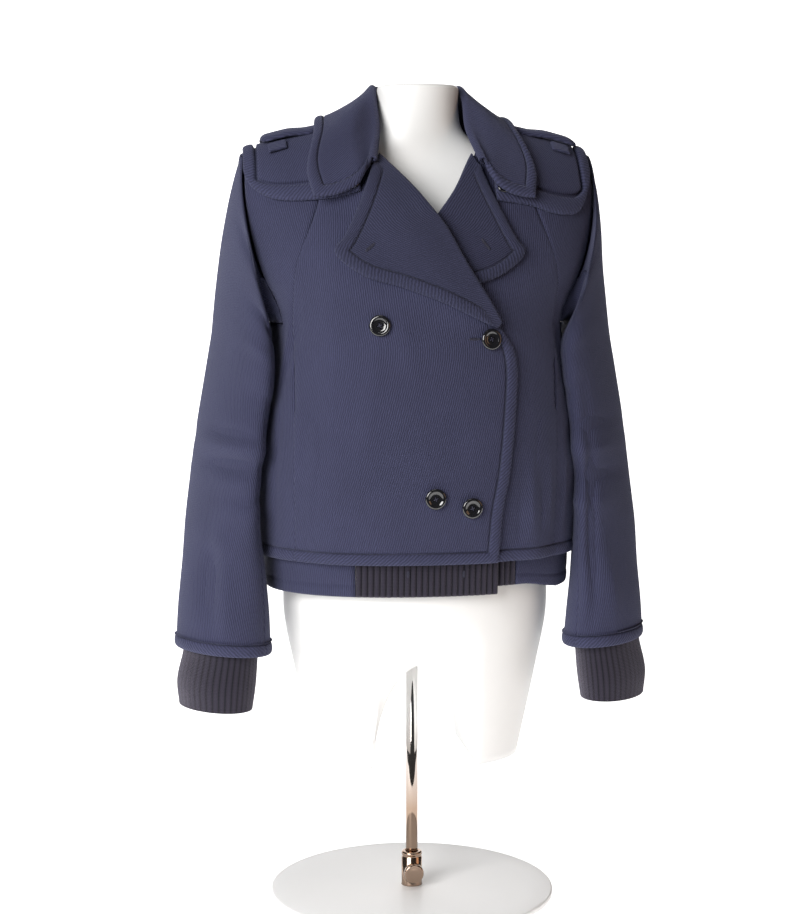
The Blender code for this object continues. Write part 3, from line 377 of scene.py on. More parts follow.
# Small creases that only the cloth's skin has; the last column leans them, in degrees a mm.
body_creases = np.array([
    (34, 455, 42, 1.6, 0.9, 0.00), (39.5, 450, 50, 1.7, -0.9, 0.01), (45, 462, 46, 1.8, 1.0, 0.0),
    (29, 440, 34, 1.5, -0.6, 0.0), (56, 470, 60, 2.4, 0.8, 0.02), (-58, 640, 40, 2.2, -0.8, 0.12),
    (-66, 615, 46, 2.0, 0.8, 0.10), (-62, 480, 70, 2.6, -0.7, 0.0), (-50, 520, 60, 3.0, 0.6, 0.02),
    (62, 640, 42, 2.2, -0.9, -0.12), (70, 612, 46, 2.0, 0.8, -0.10), (-20, 560, 80, 4.0, 0.5, 0.03),
    (6, 520, 70, 4.0, -0.45, -0.03), (-8, 640, 50, 3.4, 0.5, -0.05), (128, 600, 60, 2.6, 0.9, 0.08),
    (140, 470, 60, 2.8, -0.9, 0.0), (163, 450, 60, 3.0, 0.8, 0.0), (172, 640, 80, 3.2, -0.9, 0.0),
    (190, 520, 70, 3.0, 0.9, 0.0), (200, 640, 60, 3.0, -0.7, 0.02), (222, 470, 60, 2.8, -0.9, 0.0),
    (232, 600, 60, 2.6, 0.9, -0.08), (146, 720, 60, 3.0, 0.7, 0.06), (214, 715, 60, 3.0, 0.7, -0.06),
])


def shoulder_height(x):
    run = np.maximum(np.abs(x) - neck_half, 0.0)
    return neck_height - 0.14 * run - 0.0007 * run * run


def fold_depth(angle, height):
    total = 0.0
    for centre, middle, reach, half_angle, depth in body_folds:
        across = ((angle - centre + 180) % 360 - 180) / half_angle
        total = total + depth * np.exp(-across ** 2 - ((height - middle) / reach) ** 2)
    return total


crease_height = 2.4


def crease_depth(angle, height):
    total = 0.0
    for centre, middle, reach, half_angle, depth, lean in body_creases:
        across = ((angle - centre - lean * (height - middle) + 180) % 360 - 180) / half_angle
        total = total + depth * np.exp(-across ** 2 - ((height - middle) / reach) ** 2)
    return total


def signed_power(value, power):
    return np.sign(value) * np.abs(value) ** power


def skin(angle, level):
    """The shell's outside in mm. Level is 0 at the hem, 1 where the shoulder starts, 2 its seam."""
    angle, level = np.broadcast_arrays(np.asarray(angle, float), np.asarray(level, float))
    sine, cosine = np.sin(np.radians(angle)), np.cos(np.radians(angle))
    lean = np.radians(90 * np.maximum(level - 1, 0.0))
    height = mix(hem, roll_start, np.minimum(level, 1.0))
    power = 2 / squareness
    for _ in range(4):
        x = read(shell, "half_width", height) * signed_power(sine, power)
        rise = np.sin(lean) ** (2 / roll_power)
        height = np.where(level > 1, mix(roll_start, shoulder_height(x), rise), height)
    depth = mix(read(shell, "back", height), read(shell, "front", height), 0.5 + 0.5 * cosine)
    return np.stack([x, -depth * signed_power(cosine, power) * np.cos(lean), height], axis=-1)


def body(angle, level, out=0.0):
    """The shell with its folds, moved out along its normal."""
    point = skin(angle, level)
    round_body = skin(angle + 0.5, level) - skin(angle - 0.5, level)
    upward = skin(angle, np.minimum(level + 0.01, 2.0)) - skin(angle, level - 0.01)
    normal = np.cross(round_body, upward)
    normal /= np.linalg.norm(normal, axis=-1, keepdims=True)
    moved = out + fold_depth(angle, point[..., 2])
    return point + normal * np.asarray(moved)[..., None]


def angle_at(x, height):
    share = np.minimum(np.abs(x) / read(shell, "half_width", height), 1.0)
    return np.copysign(np.degrees(np.arcsin(share ** (squareness / 2))), x)


def level_at(x, height):
    share = np.clip((height - roll_start) / (shoulder_height(x) - roll_start), 0.0, 1.0)
    above = 1 + np.degrees(np.arcsin(share ** (roll_power / 2))) / 90
    return np.where(height <= roll_start, (height - hem) / (roll_start - hem), above)


roll_width, stitch_line, far_off = 13.2, 13.6, 99.0


def rolled_edge(distance, wall=cloth_wall, depth=groove):
    """How far the outside stands off near a turned edge, stitched in a groove of this depth."""
    roll = bead * np.sin(math.pi * np.clip(distance / roll_width, 0, 1)) ** 0.6
    sunk = depth * np.exp(-((distance - stitch_line) / 1.0) ** 2)
    return roll - sunk - 0.5 * wall * np.exp(-distance / 0.8)


def seam_ditch(distance, depth=0.5):
    """A seam's own line: the cloth sinks towards it on both sides."""
    return -depth * np.exp(-(distance / 1.4) ** 2)


def clear_of(distance):
    """0 on a turned edge and 1 well inside it, where the cloth may crease."""
    return smooth(14, 40, distance)


def cloth_shell(name, points, out, wall, finish, nodes, around=False, turn_over=False,
                left_out=None, edge=None, sewn=(), wale=None):
    """A cloth wall from rows by columns of outside points in mm. `out` lifts the outside only.
    `edge` is the distance from a turned edge; `sewn` lists the rows and columns of its stitches;
    `wale` is 1 on a knitted rib and 0 between two."""
    rows, columns = points.shape[:2]
    along = np.gradient(points, axis=0)
    if around:
        across = (np.roll(points, -1, 1) - np.roll(points, 1, 1)) / 2
    else:
        across = np.gradient(points, axis=1)
    normal = np.cross(across, along) * (-1 if turn_over else 1)
    normal /= np.linalg.norm(normal, axis=2, keepdims=True) + 1e-12
    outside = points + normal * np.broadcast_to(out, (rows, columns))[..., None]
    inside = points - normal * np.broadcast_to(wall, (rows, columns))[..., None]
    verts = np.concatenate([outside.reshape(-1, 3), inside.reshape(-1, 3)])
    verts = (verts + garment_offset) * 0.001
    wide = columns if around else columns - 1
    row, col = np.meshgrid(np.arange(rows - 1), np.arange(wide), indexing="ij")
    if left_out is not None:
        keep = ~left_out[:rows - 1, :wide]
        row, col = row[keep], col[keep]
    row, col = row.ravel(), col.ravel()
    nxt = (col + 1) % columns
    quads = np.stack([row * columns + col, row * columns + nxt, (row + 1) * columns + nxt,
                      (row + 1) * columns + col], axis=1)
    if turn_over:
        quads = quads[:, ::-1]
    edges = np.stack([quads, np.roll(quads, -1, 1)], axis=2).reshape(-1, 2)
    keys = edges[:, 0] * len(verts) + edges[:, 1]
    back = edges[:, 1] * len(verts) + edges[:, 0]
    rim = edges[~np.isin(keys, back)]
    under = rows * columns
    faces = np.concatenate([
        quads, quads[:, ::-1] + under,
        np.stack([rim[:, 1], rim[:, 0], rim[:, 0] + under, rim[:, 1] + under], axis=1)])
    used = np.unique(faces)
    place = np.full(len(verts), -1)
    place[used] = np.arange(len(used))
    mesh = bpy.data.meshes.new(name)
    mesh.from_pydata(verts[used].tolist(), [], place[faces].tolist())
    step_across = np.linalg.norm(np.diff(points, axis=1), axis=2)
    step_along = np.linalg.norm(np.diff(points, axis=0), axis=2)
    u = np.concatenate([np.zeros((rows, 1)), np.cumsum(step_across, axis=1)], axis=1)
    v = np.concatenate([np.zeros((1, columns)), np.cumsum(step_along, axis=0)], axis=0)
    u -= u[:, columns // 2][:, None]
    v = np.broadcast_to(v.mean(axis=1)[:, None], u.shape)
    flat = np.stack([u, v], axis=2).reshape(-1, 2) * 0.001
    flat = np.concatenate([flat, flat])[used]
    layer = mesh.uv_layers.new(name="cloth")
    loops = np.empty(len(mesh.loops), int)
    mesh.loops.foreach_get("vertex_index", loops)
    layer.data.foreach_set("uv", flat[loops].ravel())
    inward = np.broadcast_to(far_off if edge is None else edge, (rows, columns))
    banded = (1 - smooth(12.6, 13.4, inward) if wale is None else wale + 0 * inward).ravel()
    # On rib pieces this attribute carries the wale, which the rib finish uses for painted shade in the
    # valleys.
    band = mesh.attributes.new("edge_band", "FLOAT", "POINT")
    band.data.foreach_set("value", np.concatenate([banded, banded])[used].astype(np.float32))
    for face in mesh.polygons:
        face.use_smooth = True
    item = finished(name, mesh, finish, "upper", *nodes)
    for number, line in enumerate(sewn):
        stitch_row(f"{name}_stitches_{number + 1}", outside[line] + normal[line] * thread_lift)
    corner = verts[:under]
    cut = 0.5 * np.linalg.norm(np.cross(corner[quads[:, 2]] - corner[quads[:, 0]],
                                        corner[quads[:, 3]] - corner[quads[:, 1]]), axis=1)
    item["outside_area"] = float(cut.sum())
    return item


def cut_from(item):
    """Takes the outside area that cloth_shell stored off the piece again."""
    del item["outside_area"]


def maths_in(group):
    """A function that adds a Math node to this group and returns its output."""
    def maths(operation, *given):
        node = group.nodes.new("ShaderNodeMath")
        node.operation = operation
        for i, value in enumerate(given):
            if isinstance(value, (int, float)):
                node.inputs[i].default_value = value
            else:
                group.links.new(value, node.inputs[i])
        return node.outputs[0]
    return maths


def new_group(name, kind, given, gives):
    """A node group with its inputs (label, type, value) and outputs (label, type): the group, its
    inputs' sockets and its output node."""
    group = bpy.data.node_groups.new(name, kind)
    for label, socket_type, value in given:
        socket = group.interface.new_socket(label, in_out="INPUT",
                                            socket_type=f"NodeSocket{socket_type}")
        if value is not None:
            socket.default_value = value
    for label, socket_type in gives:
        group.interface.new_socket(label, in_out="OUTPUT", socket_type=f"NodeSocket{socket_type}")
    return group, add_node(group, "NodeGroupInput"), group.nodes.new("NodeGroupOutput")


def twill_weave():
    """Steep twill ridges with a soft nap, on the cloth's own map in metres."""
    group, given, gives = new_group(
        "twill_weave", "ShaderNodeTree",
        [("Map", "Vector", None), ("Ridge pitch", "Float", 0.0029), ("Ridge angle", "Float", 0.30),
         ("Nap scale", "Float", 1400.0)],
        [("Height", "Float"), ("Ridge", "Float"), ("Cloudiness", "Float")])
    maths = maths_in(group)
    split = add_node(group, "ShaderNodeSeparateXYZ", {"Vector": given["Map"]})
    wander = add_node(group, "ShaderNodeTexNoise", {"Vector": given["Map"], "Scale": 210.0,
                                                    "Detail": 3.0})["Fac"]
    nap = add_node(group, "ShaderNodeTexNoise", {"Vector": given["Map"], "Scale": given["Nap scale"],
                                                 "Detail": 3.0, "Roughness": 0.7})["Fac"]
    clouds = add_node(group, "ShaderNodeTexNoise", {"Vector": given["Map"], "Scale": 16.0,
                                                    "Detail": 5.0})["Fac"]
    across = maths("MULTIPLY", split["X"], maths("COSINE", given["Ridge angle"]))
    along = maths("MULTIPLY", split["Y"], maths("SINE", given["Ridge angle"]))
    phase = maths("ADD", maths("DIVIDE", maths("SUBTRACT", across, along), given["Ridge pitch"]),
                  maths("MULTIPLY", wander, 0.9))
    ridge = maths("MULTIPLY_ADD", maths("SINE", maths("MULTIPLY", phase, math.tau)), 0.5, 0.5)
    second = maths("SINE", maths("MULTIPLY", maths("DIVIDE", maths("ADD", along, across), 0.0011),
                                 math.tau))
    floats = maths("MULTIPLY", maths("MULTIPLY_ADD", second, 0.5, 0.5), 0.16)
    fuzz = maths("MULTIPLY", nap, 0.5)
    wire(group, gives, {"Height": maths("ADD", maths("ADD", ridge, floats), fuzz),
                        "Ridge": maths("ADD", maths("MULTIPLY", ridge, 0.7), fuzz),
                        "Cloudiness": clouds})
    return group


def stitch_nodes():
    """Sets short rounded stitches end to end along a line, each turned along it."""
    group, given, gives = new_group(
        "stitch_row", "GeometryNodeTree",
        [("Line", "Geometry", None), ("Pitch", "Float", 0.0036), ("Length", "Float", 0.0029),
         ("Thickness", "Float", 0.00055), ("Unevenness", "Float", 0.12), ("Seed", "Int", 5),
         ("Thread", "Material", None)],
        [("Stitches", "Geometry")])
    maths = maths_in(group)
    curve = add_node(group, "GeometryNodeMeshToCurve", {"Mesh": given["Line"]})
    spaced = add_node(group, "GeometryNodeResampleCurve",
                      {"Curve": curve["Curve"], "Length": given["Pitch"]}, mode="LENGTH")
    bead_shape = add_node(group, "GeometryNodeMeshUVSphere", {"Segments": 8, "Rings": 5,
                                                              "Radius": 0.5})
    tangent = add_node(group, "GeometryNodeInputTangent")
    align = add_node(group, "FunctionNodeAlignRotationToVector", {"Vector": tangent["Tangent"]},
                     axis="X")
    # Inputs 2 and 3 and output 1 are the ones for a plain number.
    uneven = add_node(group, "FunctionNodeRandomValue",
                      {2: maths("SUBTRACT", 1.0, given["Unevenness"]), 3: 1.0,
                       "Seed": given["Seed"]}, data_type="FLOAT")[1]
    size = add_node(group, "ShaderNodeCombineXYZ",
                    {"X": maths("MULTIPLY", given["Length"], uneven), "Y": given["Thickness"],
                     "Z": given["Thickness"]})
    place = add_node(group, "GeometryNodeInstanceOnPoints",
                     {"Points": spaced["Curve"], "Instance": bead_shape["Mesh"],
                      "Rotation": align["Rotation"], "Scale": size["Vector"]})
    real = add_node(group, "GeometryNodeRealizeInstances", {"Geometry": place["Instances"]})
    coloured = add_node(group, "GeometryNodeSetMaterial", {"Geometry": real["Geometry"],
                                                           "Material": given["Thread"]})
    wire(group, gives, {"Stitches": coloured["Geometry"]})
    return group


def spun_finish(name, dark, light, roughness, fine):
    """Thread or plain cotton: a matt finish with a fine unevenness of colour."""
    finish, tree, shader = new_finish(name)
    place = add_node(tree, "ShaderNodeTexCoord")["Object"]
    noise = add_node(tree, "ShaderNodeTexNoise", {"Vector": place, "Scale": fine})
    tint = add_node(tree, "ShaderNodeMix", {"Factor": noise["Fac"], "A": dark, "B": light},
                    data_type="RGBA")
    wire(tree, shader, {"Roughness": roughness, "Base Color": tint["Result"]})
    return finish


stitching, weave = stitch_nodes(), twill_weave()
thread_finish = spun_finish("navy_thread", (0.012, 0.012, 0.026, 1.0), (0.032, 0.032, 0.062, 1.0),
                            0.6, 1800.0)
thread_lift = 0.15


def stitch_row(name, path, **given):
    """A row of stitches along a path in mm, as a finished piece."""
    mesh = bpy.data.meshes.new(name)
    verts = (path + garment_offset) * 0.001
    mesh.from_pydata(verts.tolist(), [(i, i + 1) for i in range(len(verts) - 1)], [])
    item = bpy.data.objects.new(name, mesh)
    bpy.context.scene.collection.objects.link(item)
    sewing = item.modifiers.new("stitches", "NODES")
    sewing.node_group = stitching
    sockets = {socket.name: socket.identifier for socket in stitching.interface.items_tree
               if socket.in_out == "INPUT"}
    sewing[sockets["Thread"]] = thread_finish
    for label, value in given.items():
        sewing[sockets[label]] = value
    graph = bpy.context.evaluated_depsgraph_get()
    made = bpy.data.meshes.new_from_object(item.evaluated_get(graph))
    bpy.data.objects.remove(item, do_unlink=True)
    made.name = name
    made.materials.clear()
    for face in made.polygons:
        face.use_smooth = True
    return finished(name, made, thread_finish, "upper")


def navy_twill(name, angle=0.22, pitch=0.0024, relief=0.0006, depth=1.0):
    """Navy twill. On the turned edges the ridges run slantwise and lie further apart. A `depth` under 1
    darkens the colour as painted shade.
    """
    finish, tree, shader = new_finish(name)
    turned_edge = add_node(tree, "ShaderNodeAttribute", attribute_name="edge_band")["Fac"]
    ridges = {"Map": add_node(tree, "ShaderNodeUVMap", uv_map="cloth")["UV"]}
    for socket, plain, on_edge in (("Ridge angle", angle, 0.8), ("Ridge pitch", pitch, 0.0031)):
        ridges[socket] = add_node(tree, "ShaderNodeMix", {"Factor": turned_edge, "A": plain,
                                                          "B": on_edge})["Result"]
    cloth = add_node(tree, "ShaderNodeGroup", ridges, node_tree=weave)
    # With `depth` under 1 both colours are darker: painted shade.
    lines = add_node(tree, "ShaderNodeMix",
                     {"Factor": cloth["Ridge"],
                      "A": (0.019 * depth, 0.020 * depth, 0.042 * depth, 1.0),
                      "B": (0.049 * depth, 0.052 * depth, 0.108 * depth, 1.0)}, data_type="RGBA")
    tone = add_node(tree, "ShaderNodeMapRange", {"Value": cloth["Cloudiness"], "To Min": 0.84,
                                                 "To Max": 1.16})
    worn = add_node(tree, "ShaderNodeMix", {"Factor": 1.0, "A": lines["Result"],
                                            "B": tone["Result"]},
                    data_type="RGBA", blend_type="MULTIPLY")
    bump = add_node(tree, "ShaderNodeBump", {"Height": cloth["Height"], "Strength": 0.8,
                                             "Distance": relief})
    wire(tree, shader, {"Roughness": 0.88, "Specular IOR Level": 0.28, "Sheen Weight": 0.14,
                        "Sheen Roughness": 0.45, "Sheen Tint": (0.62, 0.66, 0.95, 1.0),
                        "Base Color": worn["Result"], "Normal": bump["Normal"]})
    return finish


twill = navy_twill("navy_twill")
edge_distances = np.array([0, 0.35, 0.9, 1.8, 3, 4.6, 6.5, 8.5, 10.3, 11.6, 12.4, 13.0, 13.6, 14.2,
                           14.9, 16, 18.5])
stitched = 12
hem_heights = hem + edge_distances
body_heights = np.concatenate([hem_heights, np.linspace(418, underarm, 52)])
body_levels = (body_heights - hem) / (roll_start - hem)
upper_levels = np.concatenate([[(671 - hem) / (roll_start - hem), (687 - hem) / (roll_start - hem)],
                               1 + np.linspace(0, 0.995, 42)])
underarm_row = len(body_levels) - 1


def neck_limit(angles):
    """For each angle round the back, the level at which the neckline cuts it."""
    levels = np.linspace(1.0, 1.995, 300)
    points = body(angles[None, :], levels[:, None])
    drop = neck_height - back_neck_drop * (1 - np.minimum(np.abs(points[..., 0]) / neck_half, 1) ** 2)
    above = (points[..., 2] > drop - 1) & (np.abs(points[..., 0]) < neck_half)
    first = np.where(above.any(axis=0), above.argmax(axis=0), len(levels) - 1)
    return levels[first]


back_half = np.concatenate([side_seam + 0.06 + np.array([0, 0.25, 0.6, 1.2, 2.5]),
                            np.linspace(100, back_armhole, 9), np.linspace(113.5, 179, 44)])
back_angles = np.concatenate([back_half, [180.0], 360 - back_half[::-1]])
top_level = neck_limit(back_angles)
low_part = np.broadcast_to(body_levels[:, None], (len(body_levels), len(back_angles)))
share = np.clip((upper_levels - 1) / 0.995, 0, 1)[:, None]
high_part = np.where(upper_levels[:, None] < 1, upper_levels[:, None],
                     1 + (top_level - 1)[None, :] * share)
levels = np.concatenate([low_part, high_part])
back_points = body(back_angles[None, :], levels)
back_points[-1, :, 1] = np.where(np.abs(back_points[-1, :, 0]) > neck_half,
                                 np.maximum(back_points[-1, :, 1], 0.6), back_points[-1, :, 1])
from_hem = back_points[..., 2] - hem
back_out = crease_height * crease_depth(back_angles[None, :], back_points[..., 2])
back_out = back_out * clear_of(from_hem) + rolled_edge(from_hem)
side_distance = np.minimum(back_angles - back_angles[0], back_angles[-1] - back_angles)[None, :] * 3.0
back_out = back_out + seam_ditch(side_distance)
hidden = np.zeros((len(levels), len(back_angles)), bool)
in_armhole = (back_angles < back_armhole - 0.01) | (back_angles > 360 - back_armhole - 0.01)
hidden[underarm_row:, :] = in_armhole[None, :]
back_piece = cloth_shell("back_panel", back_points, back_out, cloth_wall, twill, ["back"],
                         left_out=hidden, edge=from_hem, sewn=[np.s_[stitched, 1:-1]])
cut_from(back_piece)

# ---------------------------------------------------------------- side panels
# A narrow panel under each arm joins front and back. Its front seam runs up from the pocket and
# swings in over the chest to the shoulder.
low_seam, high_seam = 147.0, 116.0


def princess(height):
    """How far from the middle the front seam runs."""
    return mix(low_seam, high_seam, smooth(700.0, 815.0, height))


def seam_depth(height):
    """The front seam is deep where it sets out from the flap and at the pocket's slit."""
    slit = smooth(558, 566, height) * (1 - smooth(612, 620, height))
    return 0.35 + 1.5 * smooth(735, 775, height) + 1.7 * slit


all_levels = np.concatenate([body_levels, upper_levels])
for word, hand in (("right", -1), ("left", 1)):
    seam_height = skin(front_armhole, all_levels)[:, 2]
    for _ in range(4):
        seam_angle = angle_at(princess(seam_height) + seam_gap, seam_height)
        seam_height = skin(seam_angle, all_levels)[:, 2]
    shares = np.concatenate([[0, 0.01, 0.03, 0.07], np.linspace(0.13, 1, 15)])
    inner = mix(seam_angle[:, None], front_armhole, shares[None, :])
    outer = np.broadcast_to(np.concatenate([np.linspace(69.5, 93, 16), [93.9, 94.4, 94.75, 94.94]]),
                            (len(all_levels), 20))
    angles = np.concatenate([inner, outer], axis=1) * hand
    points = body(angles, all_levels[:, None])
    points[-1, :, 1] = np.minimum(points[-1, :, 1], -0.6)
    from_hem = points[..., 2] - hem
    out = crease_height * crease_depth(angles, points[..., 2])
    out = out * clear_of(from_hem) + rolled_edge(from_hem)
    out = out + seam_ditch((angles * hand - seam_angle[:, None]) * 3.0, seam_depth(points[..., 2]))
    out = out + seam_ditch((94.94 - angles * hand) * 3.0)
    hidden = np.zeros(angles.shape, bool)
    hidden[underarm_row:, len(shares) - 1:] = True
    panel = cloth_shell(f"side_panel_{word}", points, out, cloth_wall, twill, [f"side_{word}"],
                        turn_over=hand < 0, left_out=hidden, edge=from_hem,
                        sewn=[np.s_[stitched, 1:-1]])
    cut_from(panel)

# ---------------------------------------------------------------- fronts and their pocket bags
# The right front laps over the left. Its free edge runs from the hem up to the fold of the lapel,
# turned, rolled and stitched. The bags hang inside the fronts from the slits in the side seams.
front_edge = table(
    "height across",
    (395, 73), (416, 75), (455, 78), (494, 84.5), (532, 88.5), (571, 91.5), (606, 93),
    (629, 89.5), (645, 79.5), (653, 73.5), (688, 51), (727, 27), (770, 1.5), (798, -20.5),
    (823, -40), (843, -56.5), (860, -62), (874, -68),
)


def overlap(x, height):
    """How far the right front stands off over the left."""
    lapped = 4.6 * smooth(-140, -100, x)
    near_fold = smooth(-95, -25, x - read(front_edge, "across", height))
    high = smooth(642, 695, height) * (1 - smooth(790, 840, height))
    return lapped * (1 - smooth(800, 850, height)) + 7.5 * near_fold * high


def spread(hand, height):
    """How far the left front's edge lies back from the line of the right one."""
    return 8.5 * (1 - smooth(785, 845, height)) if hand > 0 else 0.0 * height


def bag_mark(x, height):
    """The outline of the pocket bag, pressed through the front as a shallow line."""
    reach = np.interp(height, [430, 475, 510, 542], [21, 24, 28, 28])
    beside = reach - (x + low_seam)
    over = (1 - np.hypot((x + low_seam) / 28.0, (height - 542.0) / 22.0)) * 22.0
    inward = np.where(height < 542, beside, over)
    shown = smooth(415, 450, height)
    pressed = 0.55 * np.exp(-((inward - 1.0) / 1.5) ** 2)
    return shown * (0.5 * smooth(-1.0, 5.0, inward) - pressed)


for word, hand in (("right", -1), ("left", 1)):
    shares = np.concatenate([[0, 0.004, 0.012, 0.03], np.linspace(0.05, 1, 84)])
    columns = len(shares) + len(edge_distances) - 1
    level = np.broadcast_to(all_levels[:, None], (len(all_levels), columns))
    x = np.full(level.shape, -low_seam)
    height = skin(angle_at(x, np.full(x.shape, 600.0)), level)[..., 2]
    for _ in range(5):
        height = skin(angle_at(x, height), level)[..., 2]
        seam = -princess(height) + seam_gap
        edge = read(front_edge, "across", height) - spread(hand, height)
        x = np.empty(level.shape)
        n = len(shares)
        x[:, :n] = mix(seam[:, :n], edge[:, :n] - edge_distances[-1], shares[None, :])
        x[:, n:] = edge[:, n:] - edge_distances[::-1][1:][None, :]
    angle = angle_at(x, height)
    lift = overlap(x, height) if hand < 0 else np.zeros(x.shape)
    points = body(-hand * angle, level, lift)
    points[-1, :, 1] = np.minimum(points[-1, :, 1], -0.6)
    to_edge = read(front_edge, "across", height) - spread(hand, height) - x
    nearest = np.minimum(points[..., 2] - hem, np.where(height < 655, to_edge, far_off))
    out = crease_height * crease_depth(-hand * angle, points[..., 2]) * clear_of(nearest)
    out = out + bag_mark(x, height) * clear_of(nearest)
    out = out + rolled_edge(nearest) + seam_ditch(x - seam, seam_depth(height))
    turn_row = int(np.searchsorted(all_levels, level_at(0.0, 640.0)))
    panel = cloth_shell(f"front_panel_{word}", points, out, cloth_wall, twill, [f"front_{word}"],
                        turn_over=hand > 0, edge=nearest,
                        sewn=[np.s_[stitched, 1:n + 4], np.s_[stitched:turn_row, n + 3]])
    cut_from(panel)

pocketing = spun_finish("pocket_cotton", (0.012, 0.013, 0.022, 1.0), (0.03, 0.032, 0.05, 1.0),
                        0.9, 2200.0)
for word, hand in (("right", -1), ("left", 1)):
    height = np.concatenate([np.linspace(418, 520, 24), np.linspace(523, 560, 14)])[:, None]
    reach = 36.0 * np.where(height < 520, 1.0, np.cos(np.radians(80 * (height - 520) / 44)))
    x = -(low_seam - 3 - reach * np.linspace(0, 1, 14)[None, :])
    height = np.broadcast_to(height, x.shape)
    lift = overlap(x, height) if hand < 0 else np.zeros(x.shape)
    points = body(-hand * angle_at(x, height), level_at(x, height), lift - cloth_wall - 3.0)
    bag = cloth_shell(f"pocket_bag_{word}", points, 0.0, 1.2, pocketing, [f"pocket_{word}"],
                      turn_over=hand > 0)
    cut_from(bag)

# ---------------------------------------------------------------- sleeves
# Two-piece set-in sleeves that hang a little forward and bend at the elbow: a top sleeve and an
# under sleeve on each side, seamed front and back, with a turned, rolled and stitched hem.
sleeve_sizes = table(
    "ring outer_x outer_z inner_x inner_z centre_y half_depth toe_in",
    (0, 196, 844, 180, 657, 0, 52, 0),
    (1, 202, 831, 179, 653, 1, 60, 0),
    (2, 209, 800, 176.5, 648, 1, 69, 4),
    (3, 215.5, 755, 175, 640, 1, 75, 9),
    (4, 218.5, 705, 174, 628, 0, 78, 14),
    (5, 221, 650, 175, 606, -2, 78, 18),
    (6, 226.5, 600, 179, 576, -5, 77, 21),
    (7, 235, 540, 186, 530, -9, 74, 22.5),
    (8, 241, 480, 190.5, 478, -13, 71, 24.5),
    (9, 246, 430, 191, 430, -18, 69, 27),
    (10, 250.5, 385, 185.5, 385, -23, 67, 30),
    (11, 257, 340, 180, 338, -28, 66, 32),
    (12, 260.5, 308, 177.5, 303, -31, 65, 33),
    (13, 261, 305.5, 177.5, 300.5, -31, 65, 33),
    (14, 261, 303, 177.5, 298, -31, 65, 33),
    (15, 261, 295, 177.5, 290, -31, 65, 33),
    (16, 261, 291, 177.5, 286, -31, 65, 33),
)
sleeve_lean = {-1: (-5.0, 5.5, 9.0), 1: (-4.0, 9.5, 13.0)}
sleeve_wider = {-1: 3.5, 1: 0.0}
elbow_folds = np.array([
    (4.2, 60, 45, 0.5, -3.0), (6.6, 70, 40, 0.35, -4.0), (7.3, 95, 40, 0.35, 3.5),
    (7.9, 60, 45, 0.35, -4.5), (8.6, 80, 40, 0.4, 3.0), (9.6, 20, 35, 0.7, -2.5),
])
# Finer creases on each side: ring, turn, half turn, half length, depth, and how many degrees they
# wind in a ring.
sleeve_creases = {
    -1: np.array([
        (7.05, 40, 46, 0.10, -1.5, 18), (7.30, 52, 52, 0.12, 1.3, 12), (7.62, 46, 50, 0.11, -1.6, 10),
        (7.95, 62, 44, 0.13, 1.1, -8), (8.35, 78, 42, 0.13, -1.0, -14), (6.3, 84, 34, 0.16, -1.0, 22),
        (5.2, 70, 30, 0.22, 0.9, 20), (4.2, 96, 36, 0.2, -1.0, 25), (9.3, 30, 28, 0.35, 0.9, 10),
        (10.4, 22, 12, 1.1, -1.2, 4), (10.8, 44, 13, 1.2, 1.0, 2), (2.6, 60, 26, 0.35, -0.8, 20),
        (7.2, 250, 44, 0.14, -1.2, 10), (7.8, 240, 40, 0.14, 1.2, 8), (5.0, 262, 34, 0.24, -1.0, 16),
    ]),
    1: np.array([
        (6.9, 58, 44, 0.12, -1.4, -16), (7.4, 66, 48, 0.12, 1.3, -12), (7.9, 58, 46, 0.12, -1.4, 9),
        (8.5, 84, 40, 0.15, 1.0, 12), (6.1, 96, 34, 0.18, -1.0, -20), (4.9, 74, 30, 0.24, 0.9, -18),
        (9.0, 70, 10, 2.0, -1.8, 3), (9.6, 88, 11, 1.8, 1.3, 2), (10.6, 46, 12, 1.0, 1.0, -3),
        (3.0, 62, 26, 0.4, -0.8, -20), (7.1, 254, 44, 0.15, -1.2, -10), (7.9, 244, 40, 0.15, 1.1, 7),
        (5.4, 266, 34, 0.24, -1.0, -14),
    ]),
}


def armhole_halves(hand):
    """The armhole from the shoulder tip down the front and from under the arm up the back."""
    rising = np.concatenate([body_levels[-1:], upper_levels])
    down_front = body(np.full(rising.shape, hand * front_armhole), rising[::-1])
    up_back = body(np.full(rising.shape, hand * back_armhole), rising)
    under_angles = np.linspace(front_armhole, back_armhole, 13)
    under = body(hand * under_angles, np.full(13, body_levels[-1]))
    first = np.concatenate([down_front, under[1:7]])
    second = np.concatenate([under[6:12], up_back])
    middle = np.concatenate([first, second[1:]]).mean(axis=0)
    halves = []
    for part in (first, second):
        inward = middle - part
        inward /= np.linalg.norm(inward, axis=1, keepdims=True)
        over = mix(0.5, 3.2, smooth(underarm, 720, part[:, 2]))
        part = part + inward * 1.7
        part[:, 0] += hand * over
        lengths = np.concatenate([[0], np.cumsum(np.linalg.norm(np.diff(part, axis=0), axis=1))])
        halves.append((part, lengths / lengths[-1]))
    return halves


def along_armhole(halves, turn):
    """Where the sleeve head is sewn in, for each turn round the sleeve."""
    share = np.where(turn <= 180, turn / 180, turn / 180 - 1)
    share = share - 0.036 * np.sin(np.radians(2 * turn)) - 0.012 * np.sin(np.radians(turn))
    share = np.clip(share, 0.0, 1.0)
    found = []
    for part, lengths in halves:
        found.append(np.stack([np.interp(share, lengths, part[:, k]) for k in range(3)], axis=-1))
    return np.where((turn <= 180)[..., None], found[0], found[1])


